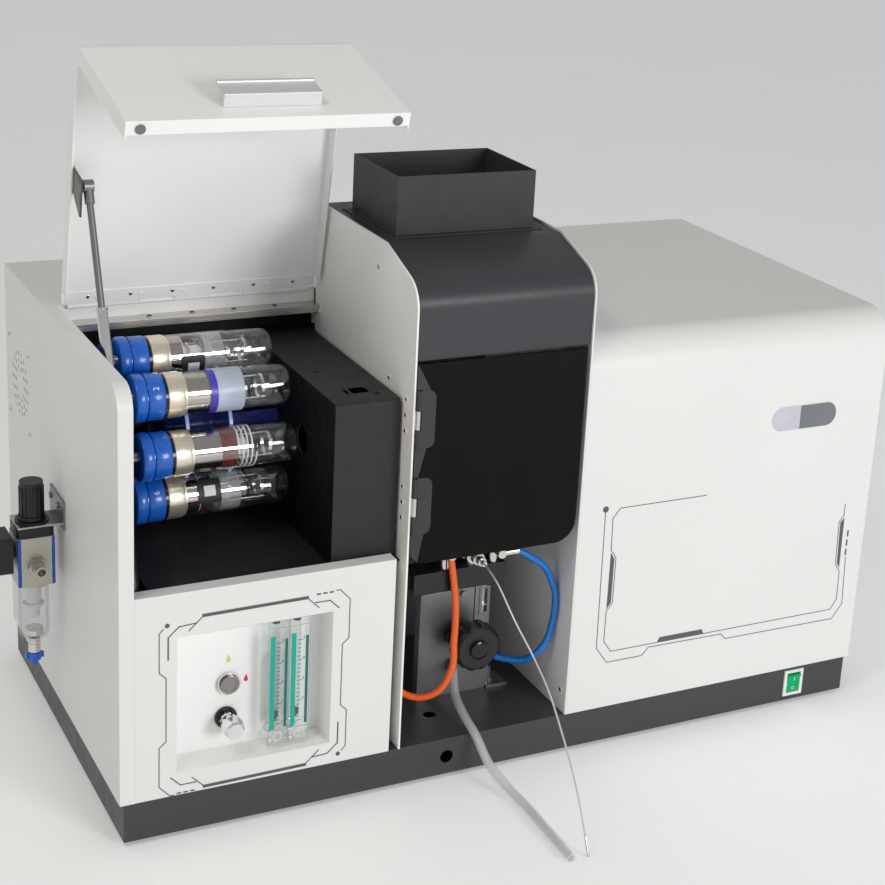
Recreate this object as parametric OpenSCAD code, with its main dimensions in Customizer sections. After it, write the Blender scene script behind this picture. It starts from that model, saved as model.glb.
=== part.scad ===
// Flame atomic absorption spectrophotometer with lamp turret, lidded lamp bay, burner bay and filter regulator.
// Units are millimetres, +Z is up, the front faces -Y. The origin is the bottom centre of the whole outline.

/* [Overall] */
// outside width of the housings
body_w = 900; // [880:1:960]
// depth of the housings from front to rear
body_d = 455; // [445:1:490]
// height of the deck of the dark base above the bench
base_h = 48; // [47:0.5:49]
// height of the rubber feet
foot_h = 5; // [4:0.5:7]
// height of the top of the two side housings above the bench
side_h = 486; // [483:1:489]
// thickness of the painted sheet panels
sheet = 1.5; // [1.2:0.1:1.8]

/* [Left housing] */
// distance from the left side to the left wall of the burner tower
left_w = 301; // [300:1:306]
// width of the folded front edge of the left side panel
edge_w = 15; // [13:0.5:15.5]
// outer radius of the folded top corner of the left side panel
left_corner_r = 25; // [18:1:30]
// rise of the front lip above the floor of the lamp bay
lip_rise = 9; // [6:0.5:11]
// depth of the flat flange behind the front lip
lip_d = 17; // [14:1:20]
// clearance between the lamps and the floor of the lamp bay
floor_gap = 5; // [3:0.5:8]
// depth at which the dark rear wall of the lamp bay stands
bay_rear = 300; // [298:1:310]
// drop of the bright ledge below the top of the housings
ledge_drop = 16; // [14:0.5:20]
// left edge of the control recess
recess_x0 = 57.7; // [52:0.5:62]
// distance of the control recess from the left wall of the tower
recess_in = 79.5; // [75:0.5:85]
// distance of the control recess above the base
recess_rise = 25; // [20:0.5:28]
// distance of the control recess below the front lip
recess_drop = 48; // [41:0.5:50]
// depth of the control recess
recess_d = 35; // [32:0.5:38]
// radius of the ignition push button
button_r = 10; // [8:0.5:11]
// radius of the fuel gas knob
gas_knob_r = 12; // [10:0.5:13]
// width of one flow meter block
meter_w = 22; // [20:0.5:22.4]

/* [Lid] */
// distance of the lid hinge from the front
hinge_y = 272; // [270:1:275]
// how far the closed lid overhangs the front
lid_over = 27; // [22:1:30]
// lean of the open lid ahead of upright, in degrees
lid_lean = 12; // [10:0.5:14]
// angle between the lid plate and its front flap, in degrees
lid_angle = 87; // [86:0.5:88]
// outer radius of the bend between the lid plate and its flap
lid_bend_r = 28; // [24:1:32]
// depth of the side flanges of the lid
lid_flange = 18; // [15:0.5:18.5]
// length of the lid handle
handle_w = 98; // [80:1:120]
// distance of the strut stud from the hinge, measured along the lid
stud_u = 157; // [155:0.5:159]
// distance of the strut stud below the lid plate
stud_v = 40; // [39:0.5:41]
// lean of the open strut behind upright, in degrees
strut_lean = 22.2; // [22:0.1:22.4]
// length of the open strut between its two pivots
strut_len = 445; // [443:0.5:447]
// radius of the strut's outer tube
strut_r = 7; // [6:0.1:7.4]

/* [Lamp turret] */
// number of lamps in the turret
lamps = 8; // [6:1:8]
// radius of the circle through the lamp axes
turret_r = 78; // [72:0.5:78]
// distance of the turret axis from the front
turret_y = 191; // [190:0.5:193]
// drop of the turret axis below the top of the housings
turret_drop = 116; // [115:0.5:117]
// radius of the lamp sockets
lamp_r = 25; // [22:0.5:25.2]
// left end of the sockets
socket_x = 43; // [42:0.5:46]
// radius of the turret shaft
turret_shaft_r = 8; // [6:0.5:10]

/* [Optics box] */
// width of the dark optics box
optics_w = 71; // [69:0.5:73]
// front face of the dark optics box
optics_y0 = 24; // [20:1:28]
// rear face of the dark optics box
optics_y1 = 290; // [284:1:296]
// drop of the optics box below the top of the housings
optics_drop = 48; // [42:1:52]

/* [Burner tower] */
// width of the burner tower between its outer faces
tower_w = 205; // [203:1:210]
// rise of the burner tower above the side housings
tower_rise = 100; // [94:1:114]
// depth of the burner tower
tower_d = 270; // [266:1:270]
// thickness of the two tower side panels
tower_t = 2; // [1.5:0.1:2.5]
// radius of the tower's front nose
nose_r = 33; // [28:1:38]
// slope of the tower's front shoulder, in degrees
nose_slope = 18; // [14:1:22]
// drop of the dark front cover below the top of the side housings
cover_drop = 3; // [-3:0.5:3.5]
// width of the chimney
chimney_w = 161; // [150:1:165]
// depth of the chimney
chimney_d = 117; // [112:1:120]
// rise of the chimney above the tower
chimney_rise = 61; // [50:1:80]
// gap between the smoked door and the dark cover above it
door_gap = 2; // [1.5:0.5:7]
// thickness of the smoked door
door_t = 3.5; // [3:0.1:4]

/* [Burner lift] */
// distance of the burner axis from the front
burner_y = 168; // [165:1:171]
// sideways place of the burner axis
burner_x = 403; // [402:0.5:404]
// distance of the burner head's slot face below the light beam
burner_gap = 11; // [7:1:17]
// length of the burner head
burner_w = 112; // [100:1:124]
// radius of the spray chamber
chamber_r = 22; // [20:0.5:23]
// distance of the spray chamber's axis below the slot face
chamber_drop = 121; // [119:0.5:122]
// sideways place of the lift knob
star_x = 416; // [415:0.5:417]
// outer radius of the lobed lift knob
star_r = 27.5; // [25:0.5:30]

/* [Right housing] */
// outer radius of the front top bend of the right housing
right_bend_r = 38; // [30:1:45]
// width of the blank badge
badge_w = 88; // [70:1:100]
// height of the blank badge
badge_h = 28; // [22:1:32]
// distance of the power switch from the right side
switch_in = 80; // [60:1:100]

/* [Filter regulator] */
// distance of the regulator's axis from the left side panel
reg_out = 30; // [29:0.5:34]
// distance of the regulator's axis from the front
reg_y = 219; // [212:1:226]
// width of the regulator's square body
reg_w = 38; // [36:1:42]
// radius of the regulator's setting knob
reg_knob_r = 13; // [12:0.5:15]
// radius of the clear filter bowl
bowl_r = 16; // [14:0.5:17]
// length of the clear filter bowl
bowl_l = 61; // [50:1:66]

/* [Hidden] */
$fn = 48;
fit = 0.05; // running clearance of a pin in its bore
gap = 0.4; // clearance between pieces that move past each other
rear_out = 22; // how far the rear gas inlets stand out
knuckle_r = 2.6; // door hinge barrel
door_y = -1; // front face of the door
turret_z = side_h - turret_drop;
beam_z = turret_z + 1;
floor_h = turret_z - turret_r - lamp_r - floor_gap;
lip_h = floor_h + lip_rise;
ledge_h = side_h - ledge_drop;
optics_x1 = left_w - 3;
optics_x0 = optics_x1 - optics_w;
optics_z1 = side_h - optics_drop;
recess_x1 = left_w - recess_in;
recess_z0 = base_h + recess_rise;
recess_z1 = lip_h - recess_drop;
recess_w = recess_x1 - recess_x0;
recess_h = recess_z1 - recess_z0;
tower_h = side_h + tower_rise;
cover_z = side_h - cover_drop;
chimney_h = tower_h + chimney_rise;
door_z0 = floor_h;
door_z1 = cover_z - door_gap;
burner_top = beam_z - burner_gap;
chamber_z = burner_top - chamber_drop;
manifold_z1 = chamber_z - 13;
manifold_z0 = manifold_z1 - 25;
bracket_h = manifold_z0 - base_h - 25;
star_z = base_h + bracket_h * 0.586;
switch_x = body_w - switch_in;
glass_x0 = socket_x + 59; // left end of the lamps' glass
glass_l = optics_x0 - 12 - glass_x0;
x_t0 = left_w; // outer face of the tower's left panel
x_t1 = left_w + tower_w; // outer face of the tower's right panel
gauge_d = 25; // how far the gauge stands out of the regulator
gauge_out = reg_out + reg_w / 2 + gauge_d; // outermost point of the gauge
mid_x = (body_w - gauge_out) / 2;
mid_y = (body_d + rear_out + door_y - knuckle_r) / 2;
front_x1 = left_w - 11;
lid_x0 = edge_w + 2;
lid_x1 = left_w - 3.5;
lid_a = hinge_y + lid_over;
lid_b = side_h - lip_h - 27;
lid_swing = 90 - lid_lean;
lid_tan = lid_bend_r / tan(lid_angle / 2);
barrel_r = 3; // lid hinge barrel
bend_steps = 16; // facets of the lid's bend
lid_lip = 14; // folded lip at the end of the lid's flap
hinge_n = 7; // lid hinge knuckles
strut_x = lid_x0 + 11;
stud_y = hinge_y - stud_u * sin(lid_lean) - stud_v * cos(lid_lean);
stud_z = side_h + stud_u * cos(lid_lean) - stud_v * sin(lid_lean);
pivot_y = stud_y - strut_len * sin(strut_lean);
pivot_z = stud_z - strut_len * cos(strut_lean);
sleeve_len = strut_len * 0.42;
rod_len = strut_len * 0.4;
strut_show = strut_len * 0.275; // rod seen above the sleeve
strut_mid = strut_len * 0.25; // sleeve seen above the tube
well_x1 = strut_x + strut_r + 4;
well_z0 = pivot_z - 16;
back_y = recess_d; // the controls stand on this plane
button_x = recess_x0 + recess_w * 0.396;
button_z = recess_z0 + recess_h * 0.48;
knob_x = recess_x0 + recess_w * 0.38;
knob_z = recess_z0 + recess_h * 0.223;
meter_x = recess_x1 - 2 * meter_w - 20.5;
meter_z0 = recess_z0 + 4;
meter_z1 = recess_z1 - 4;
meter_d = 25;
float_r = 3.8;
fan_s = 92; // fan frame
fan_y = body_d - sheet - fan_s / 2 - 0.29 * (body_d - bay_rear - 2 * sheet - fan_s);
fan_z = side_h - 122;
pipe_r = 4.5; // bay hose barbs
front_r2 = 1; // the base's front face stands this far behind the housings
switch_z = base_h - 20;
door_x = x_t0 + tower_t + knuckle_r + 0.4;
door_x0 = x_t0 + tower_t + 1;
door_x1 = x_t1 - tower_t - 5;
hinge_z = [door_z0 + 0.297 * (door_z1 - door_z0), door_z0 + 0.73 * (door_z1 - door_z0)];
hinge_l = 62;
plate_y = 92; // front of the fixed lift plate
pin_r = 6.25; // pitch radius of the lift pinion
teeth = 10;
rail_w = 3; // wall of the lift's guide rails
reg_x = -reg_out;
reg_z0 = base_h + 157;
reg_z1 = reg_z0 + 66;
reg_cap = 11; // height of the regulator's dark top block
bonnet_r = 17.5;

dark = [0.22, 0.22, 0.24];
black = [0.09, 0.09, 0.1];
white = [0.86, 0.86, 0.84];
steel = [0.72, 0.72, 0.74];
smoke = [0.06, 0.06, 0.07, 0.85];
blue = [0.04, 0.32, 0.75];

// hand-laid centre lines of the free hoses, in the instrument's own front-left frame
orange_path = [[371, 38, manifold_z1 + 18], [375.5, 38, manifold_z1 - 7.5], [379, 38, 193], [380.5, 38, 167],
  [380, 38, 142], [380.5, 39, 113], [367.5, 38, 89], [349, 43, 79], [329, 52, 83], [x_t0 + 8, 64.5, 104]];
blue_path = [[450, 34, manifold_z1 + 17], [467, 31, manifold_z1 + 6.5], [482.5, 32.5, manifold_z1 - 5.5],
  [493, 33.5, 203.5], [499, 31, 185], [498.5, 29, 165], [498, 32, 145.5], [493, 33, 126.5], [483.5, 38, 110],
  [473.5, 50, 98], [459.5, 64.5, 95], [443.5, 75.5, 99], [431, 86.6, 110]];
drain_path = [[404, 84, 84], [395, 57.5, 66], [390.5, 25, 58], [390, -7.5, 49.5], [393.5, -34.5, 29], [404, -61.5, 12.5],
  [410.5, -93.5, 5.8], [410, -128, 5.2], [409.5, -162, 5.2], [408, -196, 5.2]];
sip_path = [[burner_x, 20, chamber_z], [burner_x - 5, -22, chamber_z - 4.5], [burner_x + 6, -44.5, chamber_z - 39],
  [425.5, -59, 163], [429.5, -91, 135.5], [432, -118.5, 102.5], [429.5, -150.5, 74], [428.5, -176.5, 39],
  [428.5, -195, 1]];

// helpers

// moves the front-left frame to the origin at the bottom centre
module seat() {
  translate([-mid_x, -mid_y, 0]) children();
}

// a block between two opposite corners
module block(a, b) {
  translate(a) cube(b - a);
}

// a (y, z) outline drawn out along +X
module along_x(x0, w) {
  translate([x0, 0, 0]) rotate([90, 0, 90]) linear_extrude(height = w) children();
}

// an (x, z) outline drawn out along +Y
module along_y(y0, d) {
  translate([0, y0 + d, 0]) rotate([90, 0, 0]) linear_extrude(height = d) children();
}

// a round bar along X, Y or Z
module bar_x(x0, x1, r, y, z) {
  translate([x0, y, z]) rotate([0, 90, 0]) cylinder(h = x1 - x0, r = r);
}

module bar_y(y0, y1, r, x, z) {
  translate([x, y0, z]) rotate([-90, 0, 0]) cylinder(h = y1 - y0, r = r);
}

module bar_z(z0, z1, r, x, y) {
  translate([x, y, z0]) cylinder(h = z1 - z0, r = r);
}

// a rectangle with four round corners
module round_rect(w, h, r) {
  translate([-w / 2 + r, -h / 2]) square([w - 2 * r, h]);
  translate([-w / 2, -h / 2 + r]) square([w, h - 2 * r]);
  for (sx = [-1, 1], sy = [-1, 1]) {
    translate([sx * (w / 2 - r), sy * (h / 2 - r)]) circle(r = r);
  }
}

// side outline of a housing with one round front top corner, drawn in by d
module housing_outline(z1, r, d, low) {
  translate([d, low]) square([body_d - 2 * d, z1 - r - low]);
  translate([r, low]) square([body_d - d - r, z1 - d - low]);
  translate([r, z1 - r]) circle(r = r - d);
}

// side outline of the burner tower, drawn in by d
module tower_outline(d, low) {
  c_z = tower_h - nose_r / cos(nose_slope) - (shoulder_y() - nose_r) * tan(nose_slope);
  polygon([
    [d, low],
    [tower_d - d, low],
    [tower_d - d, tower_h - d],
    [shoulder_y() + d * tan(nose_slope / 2), tower_h - d],
    [nose_r - (nose_r - d) * sin(nose_slope), c_z + (nose_r - d) * cos(nose_slope)],
    [nose_r, c_z],
    [d, c_z]
  ]);
  translate([nose_r, c_z]) circle(r = nose_r - d);
}

function shoulder_y() = nose_r + 50;

// smooth curve through the hand-laid points
function curve_point(a, b, c, d, t) =
  0.5 * ((2 * b) + (c - a) * t + (2 * a - 5 * b + 4 * c - d) * t * t + (3 * b - a - 3 * c + d) * t * t * t);

function curve(p, n) = [
  for (i = [0:len(p) - 2])
    for (k = [0:n - 1])
      curve_point(p[max(i - 1, 0)], p[i], p[i + 1], p[min(i + 2, len(p) - 1)], k / n),
  p[len(p) - 1]
];

function unit(v) = v / norm(v);

function heading(c, i) = unit(c[min(i + 1, len(c) - 1)] - c[max(i - 1, 0)]);

function side_of(t) = unit(cross(t, abs(t[0]) > 0.8 ? [0, 1, 0] : [1, 0, 0]));

function ring(c, i, r, m) =
  let (t = heading(c, i), s = side_of(t), u = cross(t, s))
    [for (k = [0:m - 1]) c[i] + r * (s * cos(360 * k / m) + u * sin(360 * k / m))];

// a round hose swept along a curve
module hose(path, r, n, m) {
  c = curve(path, n);
  last = len(c) - 1;
  points = [for (i = [0:last]) each ring(c, i, r, m)];
  sides = [
    for (i = [0:last - 1])
      for (k = [0:m - 1])
        [i * m + k, i * m + (k + 1) % m, (i + 1) * m + (k + 1) % m, (i + 1) * m + k]
  ];
  cap_a = [for (k = [m - 1:-1:0]) k];
  cap_b = [for (k = [0:m - 1]) last * m + k];
  polyhedron(points = points, faces = concat([cap_a], sides, [cap_b]), convexity = 6);
}

// base

module base_tray() {
  color(dark) seat() difference() {
    block([4, front_r2, foot_h], [body_w - 6, body_d - 3, base_h]);
    block([4 + sheet, front_r2 + sheet, foot_h + sheet], [body_w - 6 - sheet, body_d - 3 - sheet, base_h - sheet]);
    bar_y(0, 6, 7.5, x_t0 + 59, base_h - 22);
    bar_z(base_h - 5, base_h + 1, 7, x_t0 + 63, 57);
    block([switch_x - 11.3, 0, switch_z - 14.3], [switch_x + 11.3, 6, switch_z + 14.3]);
    for (i = [0:5]) {
      block([120 + i * 14, body_d - 8, 16], [128 + i * 14, body_d, 34]);
    }
  }
}

module rubber_feet() {
  color(black) seat() for (x = [60, body_w / 2, body_w - 62], y = [55, body_d - 58]) {
    difference() {
      translate([x, y, 0]) cylinder(h = foot_h, r1 = 15, r2 = 18);
      translate([x, y, -1]) cylinder(h = foot_h - 1, r = 5);
    }
  }
}

// left housing

module left_side_panel() {
  color(white) seat() {
    difference() {
      along_x(0, edge_w) housing_outline(side_h, left_corner_r, 0, base_h);
      along_x(sheet, edge_w) housing_outline(side_h, left_corner_r, sheet, base_h + sheet);
      for (q = [[19, 10], [27, 14], [35, 18]]) {
        for (k = [1:q[1]]) {
          translate([-1, fan_y + q[0] * cos(360 * k / q[1]), fan_z + q[0] * sin(360 * k / q[1])])
            rotate([0, 90, 0]) cylinder(h = sheet + 2, r = 2.7, $fn = 8);
        }
      }
    }
    for (sy = [-1, 1], sz = [-1, 1]) {
      bar_x(-1.2, 0, 3, fan_y + sy * 45, fan_z + sz * 45);
    }
  }
}

module left_front_panel() {
  color(white) seat() difference() {
    union() {
      block([edge_w, 0, base_h], [front_x1, sheet, lip_h]);
      block([edge_w, 0, lip_h - sheet], [front_x1, lip_d, lip_h]);
      block([edge_w, lip_d - sheet, floor_h], [front_x1, lip_d, lip_h]);
      block([front_x1 - sheet, 0, base_h], [front_x1, lip_d, lip_h]);
      block([recess_x0 - sheet, 0, recess_z0 - sheet], [recess_x1 + sheet, recess_d + sheet, recess_z1 + sheet]);
    }
    block([recess_x0, -1, recess_z0], [recess_x1, recess_d, recess_z1]);
    bar_y(recess_d - 1, recess_d + 4, button_r - 2 + gap, button_x, button_z);
    bar_y(recess_d - 1, recess_d + 4, 3 + gap, knob_x, knob_z);
  }
}

module rear_cover() {
  color(white) seat() difference() {
    union() {
      along_x(edge_w, x_t0 - edge_w) {
        translate([hinge_y + 3.5, ledge_h - 4]) square([sheet, side_h - ledge_h + 4]);
        translate([hinge_y + 3.5, side_h - sheet]) square([body_d - hinge_y - 3.5, sheet]);
      }
      along_x(x_t0, tower_w) translate([tower_d, side_h - sheet]) square([body_d - tower_d, sheet]);
      along_x(edge_w, x_t1 - edge_w) translate([body_d - sheet, base_h]) square([sheet, side_h - base_h]);
    }
    for (i = [0:8]) {
      block([190 + i * 14, body_d - 6, side_h - 156], [196 + i * 14, body_d + 1, side_h - 86]);
    }
    for (x = [120, 175]) {
      bar_y(body_d - 6, body_d + 1, 6 + fit, x, 110);
    }
  }
}

// start of hinge knuckle i along X
function knuckle_x(i) = lid_x0 + 6 + i * (lid_x1 - lid_x0 - 12) / hinge_n;

module ledge_strip() {
  step = (lid_x1 - lid_x0 - 12) / hinge_n;
  color(steel) seat() {
    along_x(edge_w + sheet, left_w - edge_w - sheet) {
      translate([hinge_y - 17, ledge_h - 1.2]) square([20.5, 1.2]);
      translate([hinge_y - 17, ledge_h - 8]) square([1.2, 8]);
      translate([hinge_y + 2.3, ledge_h - 1.2]) square([1.2, side_h - ledge_h - 2.4]);
    }
    for (i = [0:2:hinge_n - 1]) {
      bar_x(knuckle_x(i) + 0.4, knuckle_x(i + 1) - 0.4, barrel_r, hinge_y, side_h);
      block([knuckle_x(i) + 0.4, hinge_y + 2.3, side_h - 4], [knuckle_x(i + 1) - 0.4, hinge_y + 3.5, side_h]);
    }
    bar_x(knuckle_x(0) + 0.4, knuckle_x(hinge_n) - 0.4, 1.5, hinge_y, side_h);
    for (i = [0:4]) {
      bar_z(ledge_h - 0.6, ledge_h + 1, 3, lid_x0 + 45 + i * (lid_x1 - lid_x0 - 92.5) / 4, hinge_y - 7);
    }
    along_x(x_t0 - 2.4, 2.4) polygon([
      [hinge_y - 17, ledge_h],
      [hinge_y - 17, ledge_h - 8],
      [hinge_y, ledge_h - 26],
      [hinge_y + 3.5, ledge_h - 26],
      [hinge_y + 3.5, ledge_h]
    ]);
  }
}

module compartment_liner() {
  color(dark) seat() {
    difference() {
      union() {
        block([edge_w, lip_d, floor_h - sheet], [x_t0, bay_rear + sheet, floor_h]);
        block([edge_w, lip_d, floor_h - sheet], [edge_w + sheet, hinge_y + 3.5, side_h - 4]);
        block([edge_w, bay_rear, floor_h], [x_t0, bay_rear + sheet, side_h - sheet]);
        block([edge_w, bay_rear - 30, floor_h], [edge_w + sheet, bay_rear, ledge_h - 10]);
        block([edge_w, pivot_y - 20, well_z0], [well_x1 + sheet, pivot_y + 40, floor_h]);
      }
      block([edge_w + sheet, pivot_y - 20 + sheet, well_z0 + sheet], [well_x1, pivot_y + 40 - sheet, floor_h + 1]);
    }
    bar_x(edge_w + sheet - 0.5, well_x1 + 0.5, 3, pivot_y, pivot_z);
  }
}

module optics_box() {
  cy = (optics_y0 + optics_y1) / 2;
  cz = (floor_h + optics_z1) / 2;
  ly = optics_y1 - optics_y0;
  lz = optics_z1 - floor_h;
  color(dark) seat() {
    difference() {
      along_x(optics_x0, optics_x1 - optics_x0) translate([cy, cz]) round_rect(ly, lz, 5);
      block([optics_x0 + 2, optics_y0 + 2, floor_h + 2], [optics_x1 - 2, optics_y1 - 2, optics_z1 - 2]);
      for (i = [0:3]) {
        block([optics_x0 + 23 + i * 7, optics_y0 + 28, optics_z1 - 5], [optics_x0 + 27 + i * 7, optics_y0 + 44, optics_z1 + 1]);
      }
      bar_z(optics_z1 - 5, optics_z1 + 1, 3, optics_x1 - 17, optics_y0 + 22);
      bar_x(optics_x0 - 1, optics_x0 + 4, 15, turret_y - turret_r, turret_z);
      bar_x(optics_x0 - 1, optics_x0 + 4, turret_shaft_r + fit, turret_y, turret_z);
      block([optics_x0 - 1, optics_y0 + 25, optics_z1 - 38], [optics_x0 + 4, optics_y0 + 30, optics_z1 - 18]);
      bar_x(optics_x1 - 4, optics_x1 + 1, 13, burner_y, beam_z);
    }
    difference() {
      bar_x(optics_x0 + 2, optics_x0 + 24, turret_shaft_r + 6, turret_y, turret_z);
      bar_x(optics_x0 + 1, optics_x0 + 22, turret_shaft_r + fit, turret_y, turret_z);
    }
    bar_z(optics_z1 - 0.5, optics_z1 + 0.8, 3.5, optics_x0 + 21, optics_y0 + 105);
  }
}

// burner tower

module tower_left_panel() {
  color(white) seat() {
    difference() {
      along_x(x_t0, tower_t) tower_outline(0, base_h);
      bar_x(x_t0 - 1, x_t0 + tower_t + 1, 13, burner_y, beam_z);
      bar_x(x_t0 - 1, x_t0 + tower_t + 1, 3, 101, tower_h - 31);
    }
    for (z = hinge_z, k = [-1, 0, 1]) {
      bar_x(x_t0 - 0.8, x_t0, 2.4, 17, z + k * 17);
    }
    bar_x(x_t0 - 0.8, x_t0, 2.4, 62, optics_z1 + 10);
  }
}

module tower_right_panel() {
  color(white) seat() {
    difference() {
      along_x(x_t1 - tower_t, tower_t) tower_outline(0, base_h);
      bar_x(x_t1 - tower_t - 1, x_t1 + 1, 10, burner_y, beam_z);
    }
    bar_x(x_t1 - tower_t - 1, x_t1 - tower_t, 2.6, 12, base_h + 26);
  }
}

module tower_cover() {
  color(dark) seat() difference() {
    along_x(x_t0 + tower_t, tower_w - 2 * tower_t) difference() {
      tower_outline(2.5, cover_z);
      tower_outline(5, cover_z - 1);
      translate([20, cover_z - 2]) square([tower_d, 4]);
    }
    translate([x_t0 + tower_w / 2, burner_y, tower_h - 10])
      linear_extrude(height = 20) square([chimney_w + 0.4, chimney_d + 0.4], center = true);
  }
}

module chimney_duct() {
  color(dark) seat() translate([x_t0 + tower_w / 2, burner_y, 0]) difference() {
    union() {
      translate([0, 0, tower_h - 14]) linear_extrude(height = chimney_h - tower_h + 14)
        square([chimney_w, chimney_d], center = true);
      translate([0, 0, tower_h - 2.5]) linear_extrude(height = 1.5)
        square([chimney_w + 16, chimney_d + 16], center = true);
    }
    translate([0, 0, tower_h - 16]) linear_extrude(height = chimney_h)
      square([chimney_w - 4, chimney_d - 4], center = true);
  }
}

module burner_backplate() {
  color(black) seat() {
    block([x_t0 + tower_t, burner_y + 72, base_h], [x_t1 - tower_t, burner_y + 73.5, tower_h - 5]);
    block([x_t0 + tower_t, burner_y + 73.5, base_h], [x_t1 - tower_t, burner_y + 88, base_h + 1.5]);
    difference() {
      bar_x(x_t0 + tower_t, x_t0 + tower_t + 5, 18, burner_y, beam_z);
      bar_x(x_t0 + tower_t - 1, x_t0 + tower_t + 6, 13, burner_y, beam_z);
    }
    difference() {
      bar_x(x_t1 - tower_t - 5, x_t1 - tower_t, 18, burner_y, beam_z);
      bar_x(x_t1 - tower_t - 6, x_t1 - tower_t + 1, 13, burner_y, beam_z);
    }
  }
}

module door_hinge_fixed() {
  color(steel) seat() for (z = hinge_z) {
    block([x_t0 + tower_t, door_y + knuckle_r + 0.8, z - hinge_l / 2], [x_t0 + tower_t + 1.2, 30, z + hinge_l / 2]);
    block([x_t0 + tower_t, door_y, z - 10], [x_t0 + tower_t + 1.2, 8, z + 10]);
    bar_z(z - 10, z + 10, knuckle_r, door_x, door_y);
    bar_z(z - hinge_l / 2, z + hinge_l / 2, 1.2, door_x, door_y);
  }
}

module door_panel() {
  w = door_x1 - door_x0;
  color(smoke) seat() {
    difference() {
      along_y(door_y, door_t) {
        translate([door_x0, door_z0 + 25]) square([w, door_z1 - door_z0 - 25]);
        translate([door_x0 + 18, door_z0]) square([w - 43, 40]);
        translate([door_x0, door_z0 + 18]) square([w, 30 - 18]);
        translate([door_x0 + 18, door_z0 + 18]) circle(r = 18);
        translate([door_x1 - 25, door_z0 + 25]) circle(r = 25);
      }
      block([door_x1 - 25 + 25 * 0.98, door_y - 1, door_z0 + 10], [door_x1 + 1, door_y + door_t + 1, door_z0 + 25]);
      for (z = hinge_z) {
        block([door_x0 - 1, door_y - 1, z - hinge_l / 2 - 1], [door_x + knuckle_r + 0.5, door_y + door_t + 1, z + hinge_l / 2 + 1]);
      }
    }
    for (z = hinge_z) {
      difference() {
        union() {
          for (k = [-1, 1]) {
            bar_z(z + k * 20.7 - 10.3, z + k * 20.7 + 10.3, knuckle_r, door_x, door_y);
            block([door_x, door_y - 1.2, z + k * 20.7 - 10.3], [door_x + knuckle_r + 2, door_y, z + k * 20.7 + 10.3]);
          }
          along_y(door_y - 1.2, 1.2) {
            translate([door_x + knuckle_r + 0.5, z - hinge_l / 2]) square([8, hinge_l]);
            translate([door_x + knuckle_r + 0.5, z - hinge_l / 2 + 8]) square([16, hinge_l - 16]);
            translate([door_x + knuckle_r + 8.5, z - hinge_l / 2 + 8]) circle(r = 8);
            translate([door_x + knuckle_r + 8.5, z + hinge_l / 2 - 8]) circle(r = 8);
          }
        }
        bar_z(z - hinge_l / 2 - 1, z + hinge_l / 2 + 1, 1.2 + fit, door_x, door_y);
      }
    }
    block([door_x0 + 42, door_y + door_t, door_z1 - 12], [door_x0 + 58, door_y + door_t + 3, door_z1 - 4]);
  }
}

// burner bay

module lift_bracket() {
  x0 = star_x - 52;
  x1 = star_x + 34;
  top = base_h + bracket_h;
  color(steel) seat() {
    difference() {
      union() {
        block([x0, plate_y, base_h], [x1, plate_y + 3, top]);
        block([star_x + 20.5, plate_y - 1, top - 35], [star_x + 33.5, plate_y + 1, top]);
      }
      bar_y(plate_y - 1, plate_y + 4, 5 + fit, star_x, star_z);
      block([star_x + 24, plate_y - 2, top - 32], [star_x + 30, plate_y + 4, top - 3]);
      block([star_x + 14, plate_y - 1, star_z + 12], [star_x + 15.4, plate_y + 4, top + 1]);
    }
    for (s = [0, 1]) {
      a = s == 0 ? x0 : x1 - rail_w;
      b = s == 0 ? x0 : x1 - rail_w - 3.4;
      block([a, plate_y + 3, base_h], [a + rail_w, plate_y + 9.4, top]);
      block([b, plate_y + 9.4, base_h], [b + rail_w + 3.4, plate_y + 12, top]);
    }
    difference() {
      block([x1, plate_y - 4, base_h], [x1 + 26, plate_y + 27, base_h + 3]);
      bar_z(base_h - 1, base_h + 4, 3, x1 + 16, plate_y + 4);
    }
    block([x1, plate_y, base_h + 3], [x1 + 3, plate_y + 27, base_h + 60]);
    bar_z(base_h + 3, base_h + 6, 5, x1 + 9, plate_y + 10);
    bar_z(base_h + 6, base_h + 20, 2.5, x1 + 9, plate_y + 10);
    bar_y(plate_y - 4, plate_y, 4, star_x, top - 5);
    bar_y(plate_y - 3, plate_y, 8, star_x - 15, star_z);
    bar_y(plate_y - 12, plate_y - 3, 7, star_x - 15, star_z);
    bar_y(plate_y - 8, plate_y, 6, drain_path[0][0], drain_path[0][2]);
    bar_y(plate_y - 5, plate_y, pipe_r, blue_path[12][0], blue_path[12][2]);
  }
}

module gas_manifold() {
  color(black) seat() {
    block([x_t0 + 31, 45, manifold_z0], [x_t0 + 141, 75, manifold_z1]);
    block([x_t0 + tower_t, 55, manifold_z0 + 3], [x_t0 + 31, 65, manifold_z0 + 22]);
    block([x_t0 + tower_t, 48, manifold_z0 - 8], [x_t0 + tower_t + 3, 72, manifold_z0 + 28]);
  }
}

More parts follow.
